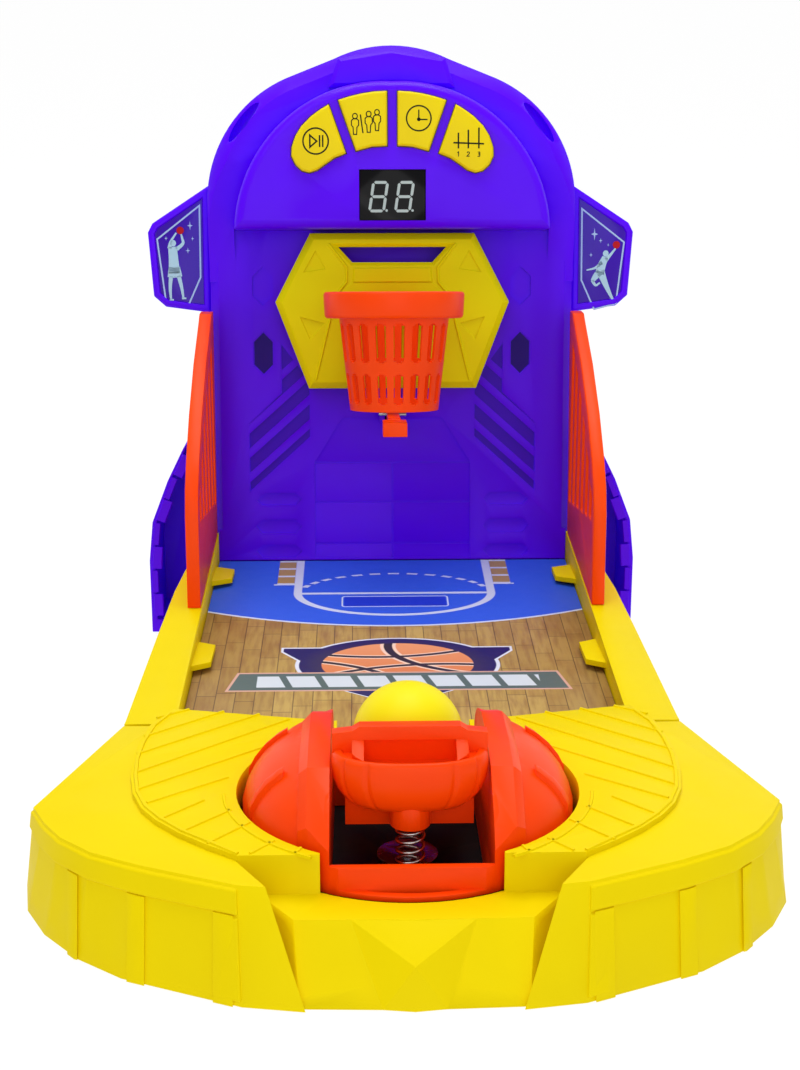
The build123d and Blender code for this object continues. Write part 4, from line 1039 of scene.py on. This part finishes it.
@dataclass
class Console:
    """The console's hood, its keys with printed signs, and the two-digit display."""

    key_face: float = 30.6
    ink: float = 0.62
    ink_height: float = 0.06
    window_face: float = 27.6
    digit_height: float = 13.6
    digit_width: float = 6.8
    digit_slant: float = 0.15
    segment_gap: float = 0.35
    segment_tip: float = 0.6
    print_half: float = 0.05
    segment: float = 1.35
    digit_feet: tuple = (-11.2, 1.4)
    digit_foot: float = 176.6

    def line(self, path: Path, closed: bool = False, width: Optional[float] = None) -> Surface:
        """One inked line on a key."""
        return ribbon(path, width or self.ink, self.key_face - 0.05, self.key_face + self.ink_height, closed)

    def person(self, x: float, foot: float) -> list[Surface]:
        """The outline of a standing person: a ring for the head over a rounded body."""
        body = [(x - 0.75, foot), (x + 0.75, foot), (x + 0.95, foot + 3.4), (x + 1.75, foot + 4.4),
                (x + 1.7, foot + 6.6), (x + 0.8, foot + 7.3), (x - 0.8, foot + 7.3), (x - 1.7, foot + 6.6),
                (x - 1.75, foot + 4.4), (x - 0.95, foot + 3.4)]
        return [self.line(body, True, 0.5), self.line(arc(x, foot + 8.6, 1.15, 1.25, count=24), True, 0.5)]

    def sign(self, key: Key) -> Surface:
        """The sign printed on a key.

        Args:
            key: which key.

        Returns:
            Its lines, in the wall's axes.
        """
        if key is Key.PLAY:
            return together([self.line(arc(-37.0, 209.5, 6.1, 6.1), True, 0.75),
                             self.line([(-39.8, 212.3), (-39.8, 206.6), (-36.5, 209.45)], True, 0.75),
                             self.line([(-35.1, 206.7), (-35.1, 212.3)], width=0.7),
                             self.line([(-33.6, 206.7), (-33.6, 212.3)], width=0.7)])
        if key is Key.PLAYERS:
            bar = self.line([(-15.4, 222.0), (-14.2, 213.2)])
            people = self.person(-18.0, 212.6) + self.person(-11.4, 213.6) + self.person(-7.4, 214.4)
            return together([bar] + people)
        if key is Key.TIMER:
            return together([self.line(arc(12.7, 220.2, 5.9, 5.9), True, 0.7),
                             self.line([(12.7, 224.2), (12.7, 219.6), (16.9, 219.6)]),
                             plate(arc(12.7, 219.7, 0.9, 0.9, count=20), self.key_face - 0.05,
                                   self.key_face + self.ink_height)])
        bars = [self.line([(29.4, 208.7), (44.2, 208.2)], width=0.75)]
        for x, top, mark in ((31.8, 213.4, "1"), (36.6, 214.8, "2"), (41.7, 215.8, "3")):
            bars += [self.line([(x, 206.0), (x, top)], width=0.75), self.numeral(mark, x, 203.3)]
        return together(bars)

    def numeral(self, mark: str, x: float, v: float) -> Surface:
        """A small 1, 2 or 3 about a point."""
        drawn = {"1": [(-0.5, 0.6), (0.1, 1.1), (0.1, -1.1)],
                 "2": [(-0.6, 0.6), (-0.2, 1.1), (0.45, 0.95), (0.55, 0.4), (-0.6, -0.95), (0.65, -0.95)],
                 "3": [(-0.55, 0.95), (0.4, 1.0), (0.5, 0.4), (-0.1, 0.1), (0.55, -0.3), (0.35, -1.0),
                       (-0.6, -0.95)]}
        return self.line([(x + a, v + b) for a, b in drawn[mark]], width=0.42)

    def digit(self, foot: float) -> list[Surface]:
        """One seven-segment 8 and its point, all segments alike and slanted."""
        w, h, half = self.digit_width, self.digit_height, self.digit_height / 2
        low, high = self.window_face - self.print_half, self.window_face + self.print_half
        ends = [((0, 0), (w, 0)), ((0, half), (w, half)), ((0, h), (w, h)), ((0, 0), (0, half)),
                ((w, 0), (w, half)), ((0, half), (0, h)), ((w, half), (w, h))]
        made = []
        for a, b in ends:
            a, b = np.array(a, float), np.array(b, float)
            run = unit(b - a)
            near, far = run * self.segment_gap, run * (self.segment_gap + self.segment_tip)
            stops = np.array([a + near, a + far, b - far, b - near])
            stops[:, 0] += stops[:, 1] * self.digit_slant + foot
            stops[:, 1] += self.digit_foot
            made.append(ribbon(stops, [0.3, self.segment, self.segment, 0.3], low, high))
        dot = arc(foot + w + 1.5, self.digit_foot + 0.2, 0.6, 0.6, count=20)
        return made + [plate(dot, low, high)]

    def build(self) -> None:
        """Makes the signs and digits and dresses the console."""
        for key in Key:
            add_piece(f"sign_{key.value}", self.sign(key), WALL.place, Plastic.INK.build(),
                      f"{key.value}_key")
            dress([f"button_{key.value}"], Plastic.KEY.build(), 0.5)
        digits = together([s for foot in self.digit_feet for s in self.digit(foot)])
        add_piece("display_digits", digits, WALL.place, Plastic.SEGMENT.build(), "machine")
        dress(["console_hood"], Plastic.GLOSS.build(), 0.4, 20.0)
        dress(["display_window"], smoked_glass(), 0.2)
        dress(["display_module"], Plastic.BLACK.build(), 0.2)


# ---------------------------------------------------------------- target


@dataclass
class Target:
    """The backboard, rim, basket and scoring lever."""

    axis_out: float = 53.0
    rim: tuple = ((31.8, 125.2), (32.6, 125.7), (33.0, 126.8), (33.5, 136.0), (33.2, 137.1), (32.4, 137.6),
                  (28.8, 137.6), (28.0, 137.2), (27.7, 136.4), (27.6, 125.2))
    arm: tuple = ((-15.0, 28.2), (15.0, 28.2), (15.0, 36.8), (-15.0, 36.8))
    low_radius: float = 21.1
    top_radius: float = 27.4
    low: float = 81.6
    top: float = 136.6
    bars: int = 18
    bar_steps: int = 7
    bar_share: int = 3
    slots: tuple = ((85.0, 99.4), (104.6, 122.8))
    wall: float = 1.5
    face: float = 16.0
    slot_end: float = 0.9
    ridge: tuple = ((-31.6, 161.4), (-22.6, 149.8), (-22.8, 142.6), (-28.2, 136.0), (-38.6, 94.0))
    lip: tuple = ((-19.8, 149.6), (19.8, 149.6), (20.4, 142.4), (-20.4, 142.4))
    shelf: tuple = ((-20.4, 142.4), (20.4, 142.4), (27.0, 137.4), (-27.0, 137.4))

    def relief(self) -> Surface:
        """A ridge down each side of the board's middle, and the lip and shelf under its slot."""
        side = ribbon(self.ridge, 1.7, self.face - 0.4, self.face + 0.9, top=0.5)
        middle = plate(self.lip[::-1], self.face - 0.4, self.face + 0.8, 0.06)
        shelf = plate(self.shelf[::-1], self.face - 0.4, self.face + 0.25, 0.04)
        return side + mirrored(side) + middle + shelf

    def hoop(self, points: np.ndarray) -> np.ndarray:
        """Points about the hoop's axis, which runs up the wall, as metres in the object's frame."""
        return WALL.place(np.column_stack([points[:, 0], points[:, 2], self.axis_out - points[:, 1]]))

    def cone(self) -> Surface:
        """The basket's skin: radius rises evenly with height, round the axis, less the slots.

        Rows of points stand at the ends and at each slot's foot and head; a cell is left out where its
        row is a slot and its place between two bars is past the bar's share.
        """
        heights = np.array(sorted([self.low, self.top, *np.ravel(self.slots),
                                   *[lo + self.slot_end for lo, _ in self.slots],
                                   *[hi - self.slot_end for _, hi in self.slots]]))
        radii = np.interp(heights, [self.low, self.top], [self.low_radius, self.top_radius])
        skin = turned(np.column_stack([radii, heights]), self.bars * self.bar_steps)
        faces = np.asarray(skin.faces)
        cell = np.arange(len(faces))
        row, column = cell % (len(heights) - 1), cell // (len(heights) - 1) % self.bar_steps
        middle = (heights[row] + heights[row + 1]) / 2
        open_row = np.zeros(len(faces), bool)
        tight = np.zeros(len(faces), bool)
        for lo, hi in self.slots:
            open_row |= (middle > lo) & (middle < hi)
            tight |= (middle > lo) & (middle < lo + self.slot_end)
            tight |= (middle > hi - self.slot_end) & (middle < hi)
        edge = (column == self.bar_share) | (column == self.bar_steps - 1)
        gap = (column >= self.bar_share) & ~(tight & edge)
        return Surface(skin.points, faces[~(open_row & gap)].tolist())

    def build(self) -> None:
        """Makes the rim and the basket and dresses the target's nodes."""
        orange = Plastic.ORANGE.build()
        ring = turned(self.rim, 120, ring=True) + plate(self.arm, 125.8, 137.0)
        rim = soften(add_piece("hoop_ring", ring, self.hoop, orange, "machine"), 0.4, 40.0)
        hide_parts("hoop_rim")
        basket = add_piece("slotted_basket", self.cone(), self.hoop, orange, "machine", True)
        skin = basket.modifiers.new("wall", "SOLIDIFY")
        skin.thickness, skin.offset = self.wall * MM, -1.0
        soften(basket, 0.25, 40.0)
        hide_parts("basket")
        relief = add_piece("board_relief", self.relief(), WALL.place, Plastic.MUSTARD.build(), "machine")
        soften(relief, 0.35)
        dress(["backboard"], Plastic.MUSTARD.build(), 0.4, 20.0, False)
        dress(["score_lever"], orange, 0.35)


# ---------------------------------------------------------------- studio


@dataclass
class Studio:
    """Floor, lights and camera."""

    eye: tuple = (-0.0153, -0.655, 0.271)
    pitch: float = 14.95
    yaw: float = 1.366
    lens: float = 53.83
    floor_half: float = 12.0
    cove_start: float = 2.5
    cove_radius: float = 3.0

    def lamp(self, name: str, spot: Colour, aim: Colour, size: float, power: float, tint: Colour) -> None:
        """A square soft light.

        Args:
            name: the light's name.
            spot: where it hangs.
            aim: the point it faces.
            size: its side.
            power: watts.
            tint: its colour.
        """
        data = bpy.data.lights.new(name, "AREA")
        data.shape, data.size, data.energy, data.color = "SQUARE", size, power, tint
        lamp = bpy.data.objects.new(name, data)
        lamp.location = spot
        lamp.rotation_euler = (Vector(aim) - Vector(spot)).to_track_quat("-Z", "Y").to_euler()
        bpy.context.scene.collection.objects.link(lamp)

    def build(self) -> None:
        """Places the floor, the lights, the sky and the camera."""
        t = np.radians(np.linspace(0, 90, 16))
        y = np.concatenate([[-self.floor_half], self.cove_start + self.cove_radius * np.sin(t),
                            [self.cove_start + self.cove_radius]])
        z = np.concatenate([[0.0], self.cove_radius * (1 - np.cos(t)), [self.floor_half]])
        sides = [np.column_stack([np.full(len(y), x), y, z]) for x in (self.floor_half, -self.floor_half)]
        mesh = bpy.data.meshes.new("floor")
        mesh.from_pydata(np.stack(sides, 1).reshape(-1, 3).tolist(), [], net_faces(len(y), 2, False, False))
        mesh.polygons.foreach_set("use_smooth", np.ones(len(mesh.polygons), bool))
        floor = bpy.data.objects.new("floor", mesh)
        shade = Shade("pale_floor")
        shade.shader.inputs["Base Color"].default_value = (0.12, 0.12, 0.12, 1.0)
        shade.shader.inputs["Roughness"].default_value = 0.8
        shade.shader.inputs["Specular IOR Level"].default_value = 0.1
        shade.shader.inputs["Emission Color"].default_value = (1.0, 1.0, 1.0, 1.0)
        shade.shader.inputs["Emission Strength"].default_value = 0.92
        mesh.materials.append(shade.material)
        bpy.context.scene.collection.objects.link(floor)
        floor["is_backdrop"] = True
        world = bpy.data.worlds.new("sky")
        world.use_nodes = True
        sky = world.node_tree.nodes["Background"]
        sky.inputs["Color"].default_value = (1.0, 1.0, 1.0, 1.0)
        sky.inputs["Strength"].default_value = 0.36
        scene = bpy.context.scene
        scene.world = world
        scene.view_settings.view_transform = "Standard"
        middle = (0.0, 0.0, 0.12)
        self.lamp("key_light", (-0.6, -0.9, 1.3), middle, 0.9, 4.0, (1.0, 0.99, 0.97))
        self.lamp("front_light", (0.1, -1.6, 0.45), middle, 1.2, 6.0, (1.0, 1.0, 1.0))
        self.lamp("fill_light", (1.0, -0.7, 0.7), middle, 1.0, 1.5, (0.97, 0.98, 1.0))
        self.lamp("top_light", (0.0, 0.1, 1.4), middle, 0.8, 11.0, (1.0, 1.0, 1.0))
        data = bpy.data.cameras.new("camera")
        data.lens, data.sensor_width = self.lens, 36.0
        camera = bpy.data.objects.new("camera", data)
        camera.location = self.eye
        camera.rotation_euler = (math.radians(90 - self.pitch), 0.0, -math.radians(self.yaw))
        scene.collection.objects.link(camera)
        scene.camera = camera


def corners() -> list[list[float]]:
    """The lowest and highest corner of the shown object, as plain lists."""
    return [list(v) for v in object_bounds()]


def main() -> None:
    """Builds every part in order."""
    logging.basicConfig(level=logging.INFO, format="%(message)s")
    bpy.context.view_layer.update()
    for part in (Base(), Court(), Launcher(), Tower(), Wings(), Console(), Target(), Studio()):
        log.info("building %s", type(part).__name__)
        part.build()
    bpy.context.view_layer.update()


if __name__ == "__main__":
    main()
